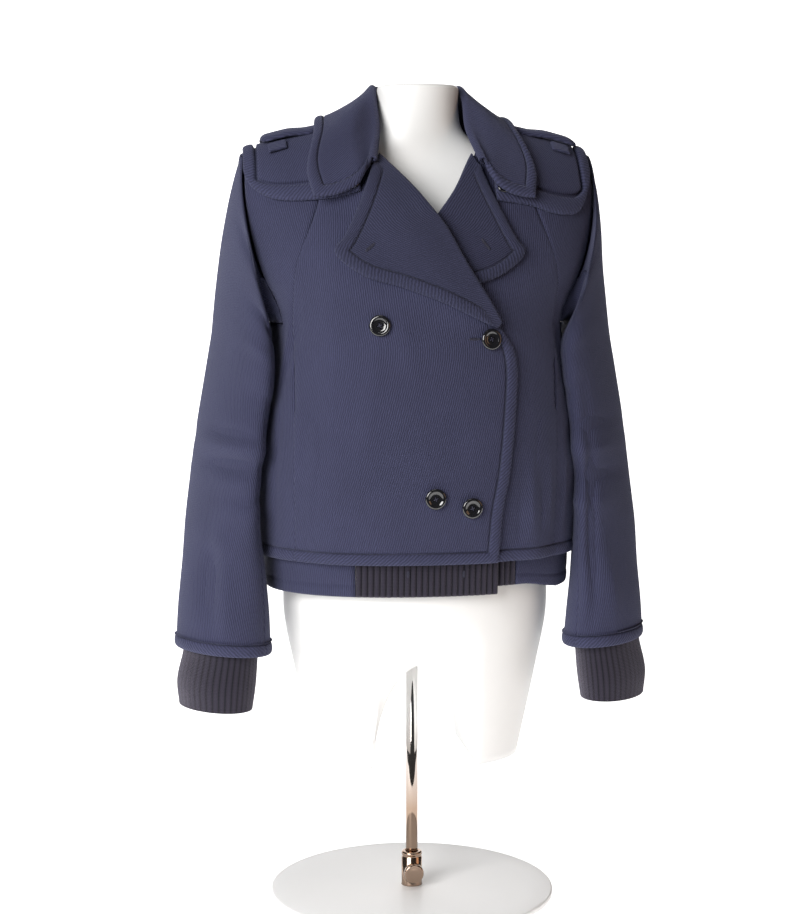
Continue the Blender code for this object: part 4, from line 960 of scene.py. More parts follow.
def sleeve_point(hand, ring, turn, halves):
    """The sleeve's outside. Ring 0 is the armhole, and rings 12 to 16 are the turned hem. Turn 0
    is the outer side."""
    cosine, sine = np.cos(np.radians(turn)), np.sin(np.radians(turn))
    get = {name: read(sleeve_sizes, name, ring) for name in sleeve_sizes}
    wider = sleeve_wider[hand] * smooth(8, 11.5, ring)
    outer = np.stack([get["outer_x"] + wider, 0 * ring, get["outer_z"]], axis=-1)
    fuller = 4.5 * smooth(1.5, 2.7, ring) * (1 - smooth(4.2, 5.8, ring)) if hand > 0 else 0.0
    inner = np.stack([get["inner_x"] - wider - fuller, 0 * ring, get["inner_z"]], axis=-1)
    fold = 0.0
    for at_ring, at_turn, half_turn, length, depth in elbow_folds:
        around = ((turn - at_turn + 180) % 360 - 180) / half_turn
        fold = fold + depth * np.exp(-around ** 2 - ((ring - at_ring) / length) ** 2)
    middle, spoke = (outer + inner) / 2, (outer - inner) / 2
    swell = 1 + fold / 60
    offset = spoke * (cosine * swell)[..., None]
    offset[..., 1] -= get["half_depth"] * sine * swell
    further = 7.0 * smooth(2.8, 4.8, ring) * (1 - smooth(9.0, 11.0, ring)) if hand > 0 else 0.0
    toe = np.radians(-get["toe_in"] - further)
    turned_x = offset[..., 0] * np.cos(toe) - offset[..., 1] * np.sin(toe)
    turned_y = offset[..., 0] * np.sin(toe) + offset[..., 1] * np.cos(toe)
    point = np.stack([middle[..., 0] + turned_x, turned_y + get["centre_y"],
                      middle[..., 2] + offset[..., 2]], axis=-1)
    lean, first, last = sleeve_lean[hand]
    point[..., 0] = hand * point[..., 0] + lean * smooth(first, last, ring)
    sewn = (1 - smooth(0, 2.2, ring))[..., None]
    return point * (1 - sewn) + along_armhole(halves, turn % 360) * sewn


hem_rings = np.interp(edge_distances[::-1], [0, 4, 12, 14.5, 17, 18.5], [16, 15, 14, 13, 12, 11.96])
sleeve_rings = np.concatenate([[0, 0.05], np.linspace(0.12, 11.85, 116), hem_rings])
hem_at = np.concatenate([np.full(len(sleeve_rings) - len(hem_rings), far_off), edge_distances[::-1]])
elbow_crease_height = 3.2
seam_front, seam_back, seam_room = 104.0, 256.0, 0.35
for word, hand in (("right", -1), ("left", 1)):
    halves = armhole_halves(hand)
    for part, first, last, count, width in (
            ("top", -seam_front + seam_room, seam_front - seam_room, 84, 0.30),
            ("under", seam_front + seam_room, seam_back - seam_room, 58, 0.22)):
        turns = np.concatenate([[first, first + 0.5, first + 1.4],
                                np.linspace(first + 3, last - 3, count),
                                [last - 1.4, last - 0.5, last]])
        ring, turn = np.meshgrid(sleeve_rings, turns, indexing="ij")
        points = sleeve_point(hand, ring, turn, halves)
        crease = 0.0
        for at_ring, at_turn, half_turn, length, depth, wind in sleeve_creases[hand]:
            around = ((turn - at_turn - wind * (ring - at_ring) + 180) % 360 - 180) / half_turn
            crease = crease + depth * np.exp(-around ** 2 - ((ring - at_ring) / length) ** 2)
        hem_distance = np.broadcast_to(hem_at[:, None], ring.shape)
        out = elbow_crease_height * crease * clear_of(hem_distance) + rolled_edge(hem_distance)
        out = out + seam_ditch(np.minimum(turn - first, last - turn))
        piece = cloth_shell(f"{part}_sleeve_{word}", points, out, cloth_wall, twill,
                            [f"sleeve_{part}_{word}"], turn_over=hand < 0, edge=hem_distance,
                            sewn=[np.s_[-1 - stitched, 1:-1]])
        cut_from(piece)

# ---------------------------------------------------------------- rib-knit cuffs
# A tube of two-by-two wool rib at each wrist, sewn inside the sleeve's hem and folded to a soft
# scalloped end. Each rib is a raised wale.
cuff_sizes = table(
    "height half_width half_depth centre_x centre_y",
    (225, 31.5, 50, 230, -33),
    (252, 34.5, 53, 229, -32.5),
    (285, 32.5, 50, 224, -32),
    (314, 31.5, 50, 221, -31),
    (326, 32.5, 55, 219.5, -30),
)


def knit_stitches():
    """Small V-shaped knit stitches in columns, on the cloth's map in metres."""
    group, given, gives = new_group(
        "knit_stitches", "ShaderNodeTree",
        [("Map", "Vector", None), ("Stitch width", "Float", 0.0019),
         ("Stitch height", "Float", 0.0016)],
        [("Height", "Float"), ("Fuzz", "Float")])
    maths = maths_in(group)
    split = add_node(group, "ShaderNodeSeparateXYZ", {"Vector": given["Map"]})
    column = maths("DIVIDE", split["X"], given["Stitch width"])
    fold = maths("ABSOLUTE", maths("SUBTRACT", maths("FRACT", column), 0.5))
    row = maths("DIVIDE", split["Y"], given["Stitch height"])
    slanted = maths("ADD", row, maths("MULTIPLY", fold, 1.1))
    wave = maths("SINE", maths("MULTIPLY", slanted, math.tau))
    between = maths("SINE", maths("MULTIPLY", fold, math.tau))
    nap = add_node(group, "ShaderNodeTexNoise", {"Vector": given["Map"], "Scale": 1500.0,
                                                 "Detail": 3.0})["Fac"]
    height = maths("ADD", maths("MULTIPLY", wave, 0.3), maths("MULTIPLY", between, 0.5))
    wire(group, gives, {"Height": maths("ADD", height, maths("MULTIPLY", nap, 0.5)), "Fuzz": nap})
    return group


def rib_knit(name):
    """Dark rib knit: its stitches show on the wales, and the valleys between them are coloured near black
    as painted shade.
    """
    finish, tree, shader = new_finish(name)
    place = add_node(tree, "ShaderNodeUVMap", uv_map="cloth")["UV"]
    knit = add_node(tree, "ShaderNodeGroup", {"Map": place}, node_tree=knit_stitches())
    tint = add_node(tree, "ShaderNodeMix",
                    {"Factor": knit["Fuzz"], "A": (0.014, 0.012, 0.020, 1.0),
                     "B": (0.040, 0.035, 0.054, 1.0)}, data_type="RGBA")
    on_wale = add_node(tree, "ShaderNodeAttribute", attribute_name="edge_band")["Fac"]
    # Painted shade: between the wales the colour goes near black.
    rib_with_painted_valley_shade = add_node(tree, "ShaderNodeMix",
                      {"Factor": on_wale, "A": (0.003, 0.003, 0.005, 1.0), "B": tint["Result"]},
                      data_type="RGBA")
    bump = add_node(tree, "ShaderNodeBump", {"Height": knit["Height"], "Strength": 0.7,
                                             "Distance": 0.0006})
    wire(tree, shader, {"Roughness": 0.93, "Specular IOR Level": 0.2, "Sheen Weight": 0.3,
                        "Sheen Roughness": 0.5, "Sheen Tint": (0.75, 0.7, 0.85, 1.0),
                        "Base Color": rib_with_painted_valley_shade["Result"], "Normal": bump["Normal"]})
    return finish


rib = rib_knit("dark_rib_knit")
wales, toe = 38, math.radians(-33.0)
for word, hand in (("right", -1), ("left", 1)):
    heights = np.concatenate([np.linspace(326, 228, 26), [226.6, 225.6, 225.05]])
    turns = np.linspace(0, math.tau, wales * 10, endpoint=False)
    height, turn = np.meshgrid(heights, turns, indexing="ij")
    offset_x = read(cuff_sizes, "half_width", height) * np.cos(turn)
    offset_y = -read(cuff_sizes, "half_depth", height) * np.sin(turn)
    x = read(cuff_sizes, "centre_x", height) + offset_x * math.cos(toe) - offset_y * math.sin(toe)
    y = read(cuff_sizes, "centre_y", height) + offset_x * math.sin(toe) + offset_y * math.cos(toe)
    points = np.stack([hand * x - 3.5, y, height], axis=2)
    wale = np.abs(np.sin(turn * wales / 2)) ** 0.7
    out = 2.3 * wale * np.interp(height, [225, 227, 231, 315, 322], [0.5, 0.8, 1, 1, 0.1]) - 0.6
    out = out - np.interp(height, [225.05, 225.6, 226.6, 228], [1.6, 0.8, 0.25, 0])
    out = out + 0.5 * np.sin(3 * turn + 1.0) * smooth(232, 260, height) * (1 - smooth(285, 312, height))
    piece = cloth_shell(f"rib_cuff_{word}", points, out, 2.6, rib, [f"cuff_{word}"], around=True,
                        turn_over=hand > 0, wale=wale)
    cut_from(piece)

# ---------------------------------------------------------------- waistband
# A flat strip of the same twill under the shell's hem, all round the back. Its front ends are two
# pieces of the rib knit, the right one over the left.
band_sizes = table(
    "height half_width front back",
    (357, 174, 119, 107),
    (380, 175.5, 121, 108),
    (405, 175.5, 121, 108),
    (428, 174, 120, 107),
)
rib_from, rib_to, under_rib_to = -83.0, 76.0, 98.0
band_low, band_high = 357.5, 428.0


def band_point(x, share, inset, angle=None):
    """The waistband's outside, at a place across or an angle. `share` is 0 at its lower edge; a
    piece that is inset lies under another, and its lower edge rises a little in front."""
    rise = 8.0 * smooth(-60, 40, x) * (1 - smooth(110, 160, x)) * (np.asarray(inset) > 0)
    height = mix(band_low + rise, band_high, share)
    wide = read(band_sizes, "half_width", height) - inset
    if angle is None:
        reach = np.minimum(np.abs(x) / wide, 1) ** (squareness / 2)
        angle = np.copysign(np.degrees(np.arcsin(reach)), x)
    sine, cosine = np.sin(np.radians(angle)), np.cos(np.radians(angle))
    power = 2 / squareness
    depth = mix(read(band_sizes, "back", height), read(band_sizes, "front", height),
                0.5 + 0.5 * cosine)
    return np.stack([wide * signed_power(sine, power),
                     -(depth - inset) * signed_power(cosine, power), height], axis=-1)


def band_angle(x):
    return math.copysign(math.degrees(math.asin((abs(x) / 175.5) ** (squareness / 2))), x)


start, end = band_angle(under_rib_to + 3.8), 360 + band_angle(rib_from - 0.3)
angle = np.linspace(start, end, 150)[None, :]
share = np.array([0, 0.01, 0.03, 0.06, 0.12, 0.17, 0.19, 0.21, 0.24, 0.3, 0.4, 0.55, 0.7, 0.85,
                  1.0])[:, None]
inset = 5.5 * (1 - smooth(start, start + 25, angle)) + 0 * share
angle, share = np.broadcast_arrays(angle, share)
x = np.where(angle < 120, band_point(0.0, share, 0.0, angle=angle)[..., 0], -200.0)
points = band_point(x, share, inset, angle=angle)
from_bottom = share * (band_high - band_low)
out = 0.8 * np.sqrt(np.sin(math.pi * np.clip(from_bottom / roll_width, 0, 1)))
out = out - 0.7 * np.exp(-((from_bottom - stitch_line) / 0.9) ** 2) - 1.0 * np.exp(-from_bottom / 0.7)
out = out + 0.5 * np.sin(np.radians(angle) * 9 + 0.6) * smooth(10, 40, from_bottom)
strip = cloth_shell("waistband_strip", points, out, cloth_wall, twill, ["waistband"])
cut_from(strip)
for word, first, last, inset, count in (("right", rib_from + 0.3, rib_to, 0.0, 24),
                                        ("left", -rib_to, under_rib_to, 5.5, 26)):
    along = np.linspace(0, 1, count * 10 + 1)
    share = np.concatenate([[0, 0.006, 0.015, 0.03], np.linspace(0.06, 1, 20)])
    share, along = np.meshgrid(share, along, indexing="ij")
    points = band_point(mix(first, last, along), share, np.full(share.shape, inset))
    wale = np.abs(np.sin(along * count * math.pi)) ** 0.7
    out = 2.1 * wale * np.interp(share, [0, 0.03, 0.08], [0.5, 0.9, 1]) - 0.5
    out = out - np.interp(share, [0, 0.006, 0.015, 0.03], [1.3, 0.6, 0.2, 0])
    piece = cloth_shell(f"waist_rib_end_{word}", points, out, 2.0, rib, [f"waist_rib_{word}"],
                        wale=wale)
    cut_from(piece)

# ---------------------------------------------------------------- lapels
# Wide notched lapels, cut in one with the fronts' facing and turned out over the fold. The outer
# edge is rolled and stitched like the front edge; the twill runs on the slant.
lapel_line = table(
    "step fold_x fold_z edge_x edge_z",
    (0, -54, 840, -62, 820),
    (1, -42.5, 825, -70.5, 796),
    (2, -28, 806, -81.5, 772),
    (3, -13, 788, -93.5, 749),
    (4, -2.5, 775, -102.5, 738),
    (5, 6.5, 764, -97, 726),
    (6, 16, 749, -71, 708),
    (7, 27, 728, -36, 697),
    (8, 42.5, 702, 6, 681),
    (9, 58.5, 677, 45, 662),
    (10, 70, 658, 67, 653),
)
double_wall, fold_round = 4.0, 3.3


def lapel_point(hand, step, share, above):
    """The turned-out lapel, from the fold at share 0 to its outer edge at 1."""
    fold_z = read(lapel_line, "fold_z", step)
    fold_x = read(lapel_line, "fold_x", step) - spread(hand, fold_z)
    x = mix(fold_x, read(lapel_line, "edge_x", step), share)
    height = mix(fold_z, read(lapel_line, "edge_z", step), share)
    lift = overlap(x, height) if hand < 0 else 0.0
    return body(-hand * angle_at(x, height), level_at(x, height), lift + above)


# The lapels' twill is the same cloth darkened by depth 0.78 as painted shade, with its ridges on the
# slant.
lapel_twill_painted_shade = navy_twill("lapel_twill_painted_shade", angle=-0.46, depth=0.78)
outline_steps = np.linspace(0.0, 10.0, 400)
outline = np.stack([read(lapel_line, "edge_x", outline_steps),
                    read(lapel_line, "edge_z", outline_steps)], axis=-1)


def from_outline(x, height):
    """How far a point of the lapel is from its outer edge."""
    run = np.hypot(x[..., None] - outline[:, 0], height[..., None] - outline[:, 1])
    return run.min(axis=-1)


def along_groove(nearest, first, last):
    """The grid's rows and columns where the edge stitching sinks in."""
    rows = np.arange(first, last)
    return rows, np.abs(nearest[first:last] - stitch_line).argmin(axis=1)


for word, hand, last, sewn_to, length in (("right", -1, 10.0, 118, 0.24),
                                          ("left", 1, 7.0, 129, 0.17)):
    steps = np.linspace(0.2, last, 130)[:, None]
    reach = np.hypot(read(lapel_line, "fold_x", steps) - read(lapel_line, "edge_x", steps),
                     read(lapel_line, "fold_z", steps) - read(lapel_line, "edge_z", steps))
    flat_shares = np.concatenate([np.linspace(0.0, 0.985, 118)[1:], [0.99, 0.994, 0.9975, 1.0]])
    # Round the fold: a half turn down to the front's own edge.
    turned_by = np.radians([150, 128, 106, 84, 62, 40, 20])[None, :]
    fold_columns = turned_by.size
    round_shares = -fold_round * np.sin(turned_by) / reach
    share = np.concatenate([round_shares, 0 * reach, flat_shares[None, :] + 0 * reach], axis=1)
    above = mix(1.9, 2.6, np.clip(1 - share, 0, 1) ** 3) + double_wall
    above[:, :fold_columns] -= fold_round * (1 - np.cos(turned_by))
    wall = np.full(share.shape, double_wall)
    wall[:, :fold_columns] = 1.6
    wall[:, fold_columns:fold_columns + 3] = [2.0, 2.8, 3.5]
    steps = np.broadcast_to(steps, share.shape)
    points = lapel_point(hand, steps, share, above)
    flat_x = mix(read(lapel_line, "fold_x", steps), read(lapel_line, "edge_x", steps), share)
    flat_z = mix(read(lapel_line, "fold_z", steps), read(lapel_line, "edge_z", steps), share)
    nearest = from_outline(flat_x, flat_z)
    off_fold = smooth(6.0, 16.0, share * reach)
    out = rolled_edge(nearest, double_wall) * off_fold
    out = out + 0.5 * np.sin(steps * 1.3) * smooth(20, 45, nearest) * off_fold
    nearest = np.where(off_fold > 0.3, nearest, far_off)
    piece = cloth_shell(f"lapel_fold_{word}", points, out, wall, lapel_twill_painted_shade, [f"lapel_{word}"],
                        turn_over=hand > 0, edge=nearest,
                        sewn=[along_groove(nearest, 2, sewn_to)])
    cut_from(piece)

# ---------------------------------------------------------------- collar
# A deep fall on a low stand, folded over at the neck and stitched round. Its front ends lie on the
# shoulder flaps and hide half of a small button each.
collar_line = table(
    "station seam_x seam_y seam_z roll_x roll_y roll_z mid_x mid_y mid_z edge_x edge_y edge_z",
    (0, 0, 47, 866, 0, 43, 920, 0, 66, 890, 0, 86, 838),
    (1, 32, 42, 869, 29, 37, 920, 40, 60, 890, 50, 80, 842),
    (2, 52, 27, 874, 46, 20, 920, 74, 42, 888, 97, 56, 856),
    (3, 56, 4, 880, 50, -4, 919, 80, 2, 898, 114, 4, 883),
    (4, 56, -22, 873, 52.5, -28, 905, 84, -33, 888, 122, -44, 862),
    (5, 56, -50, 857, 52, -54, 873, 91, -66, 852, 132, -76, 826),
    (6, 62.5, -84, 830, 60.5, -94, 837, 85, -103, 806, 127, -101, 796),
)
collar_over = {-1: 11.5, 1: 5.0}
collar_narrower = {-1: 0.0, 1: 10.0}
half_stations = np.concatenate([6 - np.array([0, 0.01, 0.025, 0.045]),
                                np.linspace(5.93, 5.1, 30), np.linspace(5.0, 0.05, 56)])
stations = np.concatenate([half_stations, [0.0], half_stations[::-1]])
sides = np.concatenate([np.ones(len(half_stations) + 1), -np.ones(len(half_stations))])
fall, collar_wall, half_fold, fold_rise, fold_sink = 95.0, 3.2, 4.7, 4.5, 3.0
stand_shares = np.array([0, 0.15, 0.35, 0.55, 0.75, 0.9])
fold_shares = np.linspace(0, 1, 13)
fall_shares = np.concatenate([np.linspace(0.05, 0.78, 26), 1 - edge_distances[::-1] / fall])
station, side = stations[:, None, None], sides[:, None, None]
line = {key: np.stack([read(collar_line, f"{key}_{axis}", stations) for axis in "xyz"], axis=-1)
        for key in ("seam", "roll", "mid", "edge")}
outward = line["edge"] - line["roll"]
outward[:, 2] = 0.0
outward = (outward / np.linalg.norm(outward, axis=1, keepdims=True))[:, None, :]
seam_line, roll_line, mid_line, edge_line = (line[key][:, None, :] for key in line)
up = np.array([0.0, 0.0, 1.0])
# The fold turns over only as far as the fall's own slope, so that the two run into each other.
inner_start = roll_line - outward * half_fold - up * fold_sink
fall_way = 4 * (mid_line - roll_line) - (edge_line - roll_line)
drop = np.arctan2(-fall_way[..., 2:], (fall_way * outward).sum(axis=-1, keepdims=True))
last_turn = math.pi / 2 + np.clip(drop, 0.2, math.pi / 2)
outer_start = (roll_line - outward * half_fold * np.cos(last_turn)
               + up * (fold_rise * np.sin(last_turn) - fold_sink))
t = stand_shares[None, :, None]
stand_part = seam_line * (1 - t) + inner_start * t
turn = last_turn * fold_shares[None, :, None]
fold_part = (roll_line - outward * half_fold * np.cos(turn)
             + up * (fold_rise * np.sin(turn) - fold_sink))
t = fall_shares[None, :, None]
fall_part = (outer_start * 2 * (t - 0.5) * (t - 1) - mid_line * 4 * t * (t - 1)
             + edge_line * 2 * t * (t - 0.5))
over = np.where(side > 0, collar_over[1], collar_over[-1])
narrow = np.where(side > 0, collar_narrower[1], collar_narrower[-1])
points = np.concatenate([stand_part, fold_part, fall_part], axis=1)
points[..., :1] *= side
points[:, -len(fall_shares):, 1:2] -= over * smooth(3, 4.8, station) * smooth(0, 0.4, t)
points[:, -len(fall_shares):, :1] -= narrow * t * smooth(1, 3, station)
step_lengths = np.linalg.norm(np.diff(points, axis=0), axis=2)
from_first = np.concatenate([np.zeros((1, points.shape[1])), np.cumsum(step_lengths, axis=0)])
end_distance = np.minimum(from_first, from_first[-1:] - from_first)
before = len(stand_shares) + len(fold_shares)
edge_distance = np.concatenate([np.full(before, far_off), (1 - fall_shares) * fall])[None, :]
on_fall = np.concatenate([np.zeros(before), smooth(0.02, 0.20, fall_shares)])[None, :]
nearest = np.minimum(end_distance + 0 * edge_distance, edge_distance + 0 * end_distance)
nearest = np.where(on_fall > 0, nearest, far_off)
out = rolled_edge(nearest, collar_wall) * on_fall
out = out + 0.7 * np.sin(stations * 2.1)[:, None] * smooth(20, 45, nearest) * on_fall
collar_twill = navy_twill("collar_twill", angle=1.3)
middle, last_column = len(half_stations), before + len(fall_shares) - 1
groove_columns = np.arange(before + 8, last_column - stitched)
end_rows = np.abs(end_distance[:middle, groove_columns] - stitch_line).argmin(axis=0)
other_rows = middle + np.abs(end_distance[middle:, groove_columns] - stitch_line).argmin(axis=0)
corner_rows = (end_rows[-1], other_rows[-1] + 1)
collar_piece = cloth_shell(
    "collar_fold", points, out, collar_wall, collar_twill, ["collar"], edge=nearest,
    sewn=[np.s_[corner_rows[0]:corner_rows[1], last_column - stitched],
          (end_rows, groove_columns), (other_rows, groove_columns)])
cut_from(collar_piece)

# ---------------------------------------------------------------- shoulder flaps
# A loose flap of twill over each shoulder and chest, sewn in at the shoulder, free below, with a
# rolled and stitched edge that passes over the sleeve head.
flap_edge = {
    -1: table("across height", (73, 796), (100, 791), (129, 790), (162, 791), (180, 799),
              (191, 812), (195, 828)),
    1: table("across height", (73, 790), (100, 787), (117, 784), (136, 778), (156, 775.5),
             (173, 780), (185, 803), (192, 829)),
}
flap_end = {-1: 195.0, 1: 192.0}
flap_twill = navy_twill("flap_twill", angle=0.5)
flap_above, flap_wall, flap_length = 1.6, 3.4, 95.0
# A known fault: the flaps' stitched groove is ten times too deep and goes through flap and front,
# with the stitches hidden at its bottom. The depth of the other pieces, 1.3 mm, would be right.
flap_groove = 13.6
for word, hand in (("right", -1), ("left", 1)):
    end_x = flap_end[hand]
    across = np.concatenate([end_x - edge_distances, np.linspace(end_x - 22, 74, 44)])[None, :]
    share = np.concatenate([edge_distances / flap_length, np.linspace(0.22, 1, 34)])[:, None]
    across, share = np.broadcast_arrays(across, share)
    bottom = read(flap_edge[hand], "height", across)
    level = mix(level_at(across, bottom), 1.985, share)
    height = bottom
    for _ in range(4):
        height = skin(angle_at(across, height), level)[..., 2]
    lift = overlap(-across, height) if hand < 0 else 0.0
    points = body(hand * angle_at(across, height), level, flap_above + flap_wall + lift)
    nearest = np.minimum(share * flap_length, end_x - across)
    out = rolled_edge(nearest, flap_wall, flap_groove)
    out = out + 0.5 * np.sin(across / 14.0 + 1) * smooth(20, 45, nearest)
    piece = cloth_shell(f"shoulder_flap_{word}", points, out, flap_wall, flap_twill,
                        [f"gun_flap_{word}"], turn_over=hand > 0, edge=nearest,
                        sewn=[np.s_[stitched, stitched:-1], np.s_[stitched + 1:-1, stitched]])
    cut_from(piece)

# ---------------------------------------------------------------- shoulder straps and their loops
# A short strap on each shoulder from under the collar to the sleeve head, rounded at its end,
# held down by a narrow loop sewn across the shoulder.
strap_inner = {-1: 113.0, 1: 105.0}
strap_outer = {-1: 174.0, 1: 180.0}
strap_half, strap_wall = 21.0, 3.4


def strap_point(hand, across, share, out):
    run = strap_half * share
    slope = 0.14 + 0.0014 * np.maximum(across - neck_half, 0)
    normal = np.stack([hand * slope, 2 * run / 95, np.ones(np.broadcast(across, run).shape)], axis=-1)
    normal /= np.linalg.norm(normal, axis=-1, keepdims=True)
    base = np.stack(np.broadcast_arrays(hand * across, run, shoulder_height(across) - run * run / 95),
                    axis=-1)
    return base + normal * np.asarray(out)[..., None]


for word, hand in (("right", -1), ("left", 1)):
    first = strap_inner[hand]
    tip = strap_outer[hand]
    across = np.concatenate([np.linspace(first, tip - 14.5, 26), tip - edge_distances[::-1][4:]])[:, None]
    half_shares = np.concatenate([[0, 0.2], 1 - edge_distances[::-1][2:] / strap_half])
    share = np.concatenate([-half_shares[::-1], half_shares[1:]])[None, :]
    across, share = np.broadcast_arrays(across, share)
    narrow = np.interp(across, [first, 120, tip - 10, tip - 6, tip - 4, tip - 2, tip - 0.7, tip],
                       [0.85, 1, 0.97, 0.92, 0.86, 0.77, 0.68, 0.6])
    bow = 3.0 * smooth(122, 146, across) * (1 - smooth(166, 182, across))
    points = strap_point(hand, across, share * narrow, flap_above + flap_wall + 0.5 + bow + strap_wall)
    nearest = np.minimum((1 - np.abs(share)) * strap_half, tip - across)
    out = 1.6 * np.sin(math.pi / 2 * np.clip(nearest / 7, 0, 1)) ** 0.7 - 1.9 * np.exp(-nearest / 1.1)
    piece = cloth_shell(f"shoulder_strap_{word}", points, out, strap_wall, twill, [f"epaulette_{word}"],
                        turn_over=hand > 0)
    cut_from(piece)
    across = np.linspace(148, 168, 21)[:, None]
    share = np.linspace(-1.75, -1.2, 14)[None, :]
    across, share = np.broadcast_arrays(across, share)
    rise = np.interp(share, [-1.75, -1.45, -1.2], [3.0, 3.2, 3.7])
    points = strap_point(hand, across, share, flap_above + flap_wall + rise)
    nearest = np.minimum(across - 148, 168 - across)
    out = 0.3 * np.sqrt(np.clip(nearest / 3, 0, 1)) - 0.8 * np.exp(-nearest / 0.7)
    piece = cloth_shell(f"strap_loop_{word}", points, out, 2.2, twill, [f"epaulette_loop_{word}"],
                        turn_over=hand > 0)
    cut_from(piece)

# ---------------------------------------------------------------- buttons
# Four 23 mm black polished buttons with a raised rim and four holes, sewn with dark thread, and
# two 13 mm ones of the same make under the collar's ends.
button_black = hard_finish("polished_black", (0.008, 0.008, 0.010), 0.10, 0.0, 40.0, 0.00003,
                           coat=1.0)
thread_radius = 0.00021


def button_at(name, seat, outward, radius, thick, node):
    """A turned button with four drilled holes and two crossed bars of thread."""
    towards = Vector(outward.tolist()).normalized()
    at = Vector(((seat + garment_offset) * 0.001).tolist())
    place = towards.to_track_quat("Z", "Y").to_matrix().to_4x4()
    place.translation = at
    r, t = radius, thick
    disc = lathe([(0, t * 0.55), (r * 0.45, t * 0.56), (r * 0.58, t * 0.62), (r * 0.66, t * 0.86),
                  (r * 0.74, t * 0.99), (r * 0.82, t), (r * 0.90, t * 0.94), (r * 0.97, t * 0.74),
                  (r, t * 0.46), (r * 0.97, t * 0.2), (r * 0.86, 0), (0, 0)], 72)
    item = bpy.data.objects.new(name, disc)
    bpy.context.scene.collection.objects.link(item)
    drills = []
    for i in range(4):
        turn = math.tau * i / 4 + 0.35
        drill = lathe([(0, t * 1.5), (r * 0.095, t * 1.5), (r * 0.095, -t), (0, -t)], 18)
        peg = bpy.data.objects.new("drill", drill)
        peg.location = (r * 0.23 * 0.001 * math.cos(turn), r * 0.23 * 0.001 * math.sin(turn), 0)
        bpy.context.scene.collection.objects.link(peg)
        cut = item.modifiers.new("hole", "BOOLEAN")
        cut.operation = "DIFFERENCE"
        cut.solver = "EXACT"
        cut.object = peg
        drills.append(peg)
    graph = bpy.context.evaluated_depsgraph_get()
    made = bpy.data.meshes.new_from_object(item.evaluated_get(graph))
    for peg in drills:
        bpy.data.objects.remove(peg, do_unlink=True)
    bpy.data.objects.remove(item, do_unlink=True)
    made.transform(place)
    made.name = name
    made.materials.clear()
    for face in made.polygons:
        face.use_smooth = True
    made.set_sharp_from_angle(angle=math.radians(38))
    finished(name, made, button_black, "upper", node)
    work = bmesh.new()
    for turn in (0.35, 0.35 + math.pi / 2):
        for off in (-0.32, 0.0, 0.32):
            path = []
            for k in range(13):
                s = -1 + 2 * k / 12
                lift = t * 0.62 + 0.45 * (1 - s * s) - (1.6 if abs(s) > 0.99 else 0)
                along = s * r * 0.25
                path.append(Vector((along * math.cos(turn) - off * math.sin(turn),
                                    along * math.sin(turn) + off * math.cos(turn), lift)) * 0.001)
            rings = []
            for k, point in enumerate(path):
                ahead = (path[min(k + 1, 12)] - path[max(k - 1, 0)]).normalized()
                side = ahead.cross(Vector((0, 0, 1))).normalized()
                over = side.cross(ahead)
                spokes = [math.tau * q / 6 for q in range(6)]
                rings.append([work.verts.new(point + (side * math.cos(q) + over * math.sin(q))
                                             * thread_radius) for q in spokes])
            for a, b in zip(rings, rings[1:]):
                for q in range(6):
                    work.faces.new((a[q], a[(q + 1) % 6], b[(q + 1) % 6], b[q]))
            work.faces.new(rings[0][::-1])
            work.faces.new(rings[-1])
    bmesh.ops.recalc_face_normals(work, faces=work.faces)
    mesh = bpy.data.meshes.new(f"{name}_thread")
    work.to_mesh(mesh)
    work.free()
    mesh.transform(place)
    for face in mesh.polygons:
        face.use_smooth = True
    finished(f"{name}_thread", mesh, thread_finish, "upper")


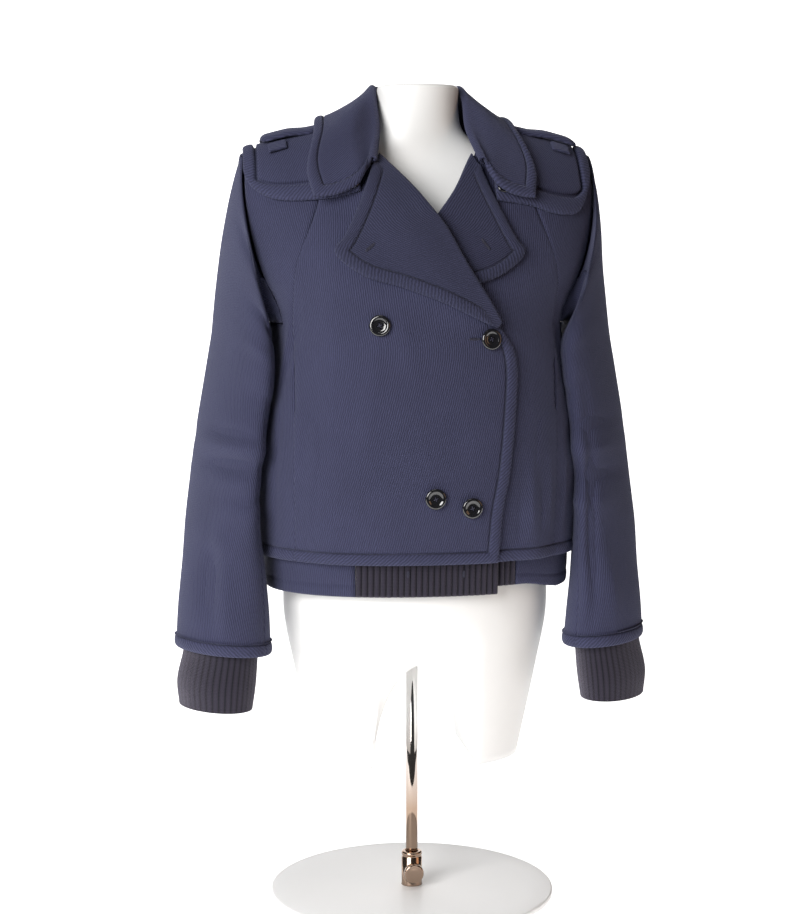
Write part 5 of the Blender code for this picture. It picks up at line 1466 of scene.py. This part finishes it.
for label, x, height in (("button_1", -57.0, 656.5), ("button_2", 61.5, 641.0),
                         ("button_3", 1.0, 470.0), ("button_4", 41.0, 459.0)):
    lift = float(overlap(np.array(x), np.array(height)))
    angle, level = angle_at(np.array(x), np.array(height)), level_at(np.array(x), np.array(height))
    seat, further = body(angle, level, lift + 1.8), body(angle, level, lift + 10.0)
    button_at(f"sewn_{label}", seat, further - body(angle, level, lift), 11.6, 3.4, label)
for word, hand in (("right", -1), ("left", 1)):
    x, height = np.array(-81.0), np.array(802.0)
    lift = float(overlap(x, height)) if hand < 0 else 0.0
    angle, level = -hand * angle_at(x, height), level_at(x, height)
    out = lift + flap_above + flap_wall + 1.9
    seat, further = body(angle, level, out), body(angle, level, out + 10)
    button_at(f"collar_button_{word}_sewn", seat, further - seat, 6.5, 2.4, f"collar_button_{word}")

# ---------------------------------------------------------------- buttonholes
# Worked in dark thread round a narrow slit: one in each lapel's corner, one beside the upper
# button at the front edge and two in the upper rib end.


def buttonhole(name, surface, centre, way, length):
    """Stitches round a slit: `surface` gives a point for a place across and a height in mm."""
    way = np.array(way) / math.hypot(*way)
    round_slit = np.linspace(0, math.tau, 49)
    long = length / 2 * signed_power(np.cos(round_slit), 0.7)
    wide = 1.1 * signed_power(np.sin(round_slit), 0.7)
    x = centre[0] + way[0] * long - way[1] * wide
    height = centre[1] + way[1] * long + way[0] * wide
    stitch_row(f"{name}_edge", surface(x, height, 0.1), Pitch=0.0009, Length=0.0012,
               Thickness=0.0010)
    reach = np.linspace(-0.42, 0.42, 9) * length
    stitch_row(f"{name}_slit", surface(centre[0] + way[0] * reach, centre[1] + way[1] * reach,
                                        thread_lift),
               Pitch=0.0012, Length=0.0020, Thickness=0.0013)


def on_lapel(hand):
    def surface(x, height, above):
        lift = overlap(x, height) if hand < 0 else 0.0
        return body(-hand * angle_at(x, height), level_at(x, height), lift + 2.3 + double_wall + above)
    return surface


def on_front(x, height, above):
    return body(angle_at(x, height), level_at(x, height), overlap(x, height) + above)


def on_rib(x, height, above):
    return band_point(x, (height - band_low) / (band_high - band_low), np.full(np.shape(x), -1.5 - above))


buttonhole("lapel_hole_right", on_lapel(-1), (-66.5, 738.0), (0.76, 0.65), 12.0)
buttonhole("lapel_hole_left", on_lapel(1), (-57.5, 742.0), (-0.62, -0.78), 14.0)
buttonhole("front_hole", on_front, (44.0, 641.5), (1.0, 0.0), 12.0)
buttonhole("rib_hole_1", on_rib, (-26.0, 384.0), (0.0, 1.0), 7.0)
buttonhole("rib_hole_2", on_rib, (36.0, 383.0), (0.0, 1.0), 7.0)
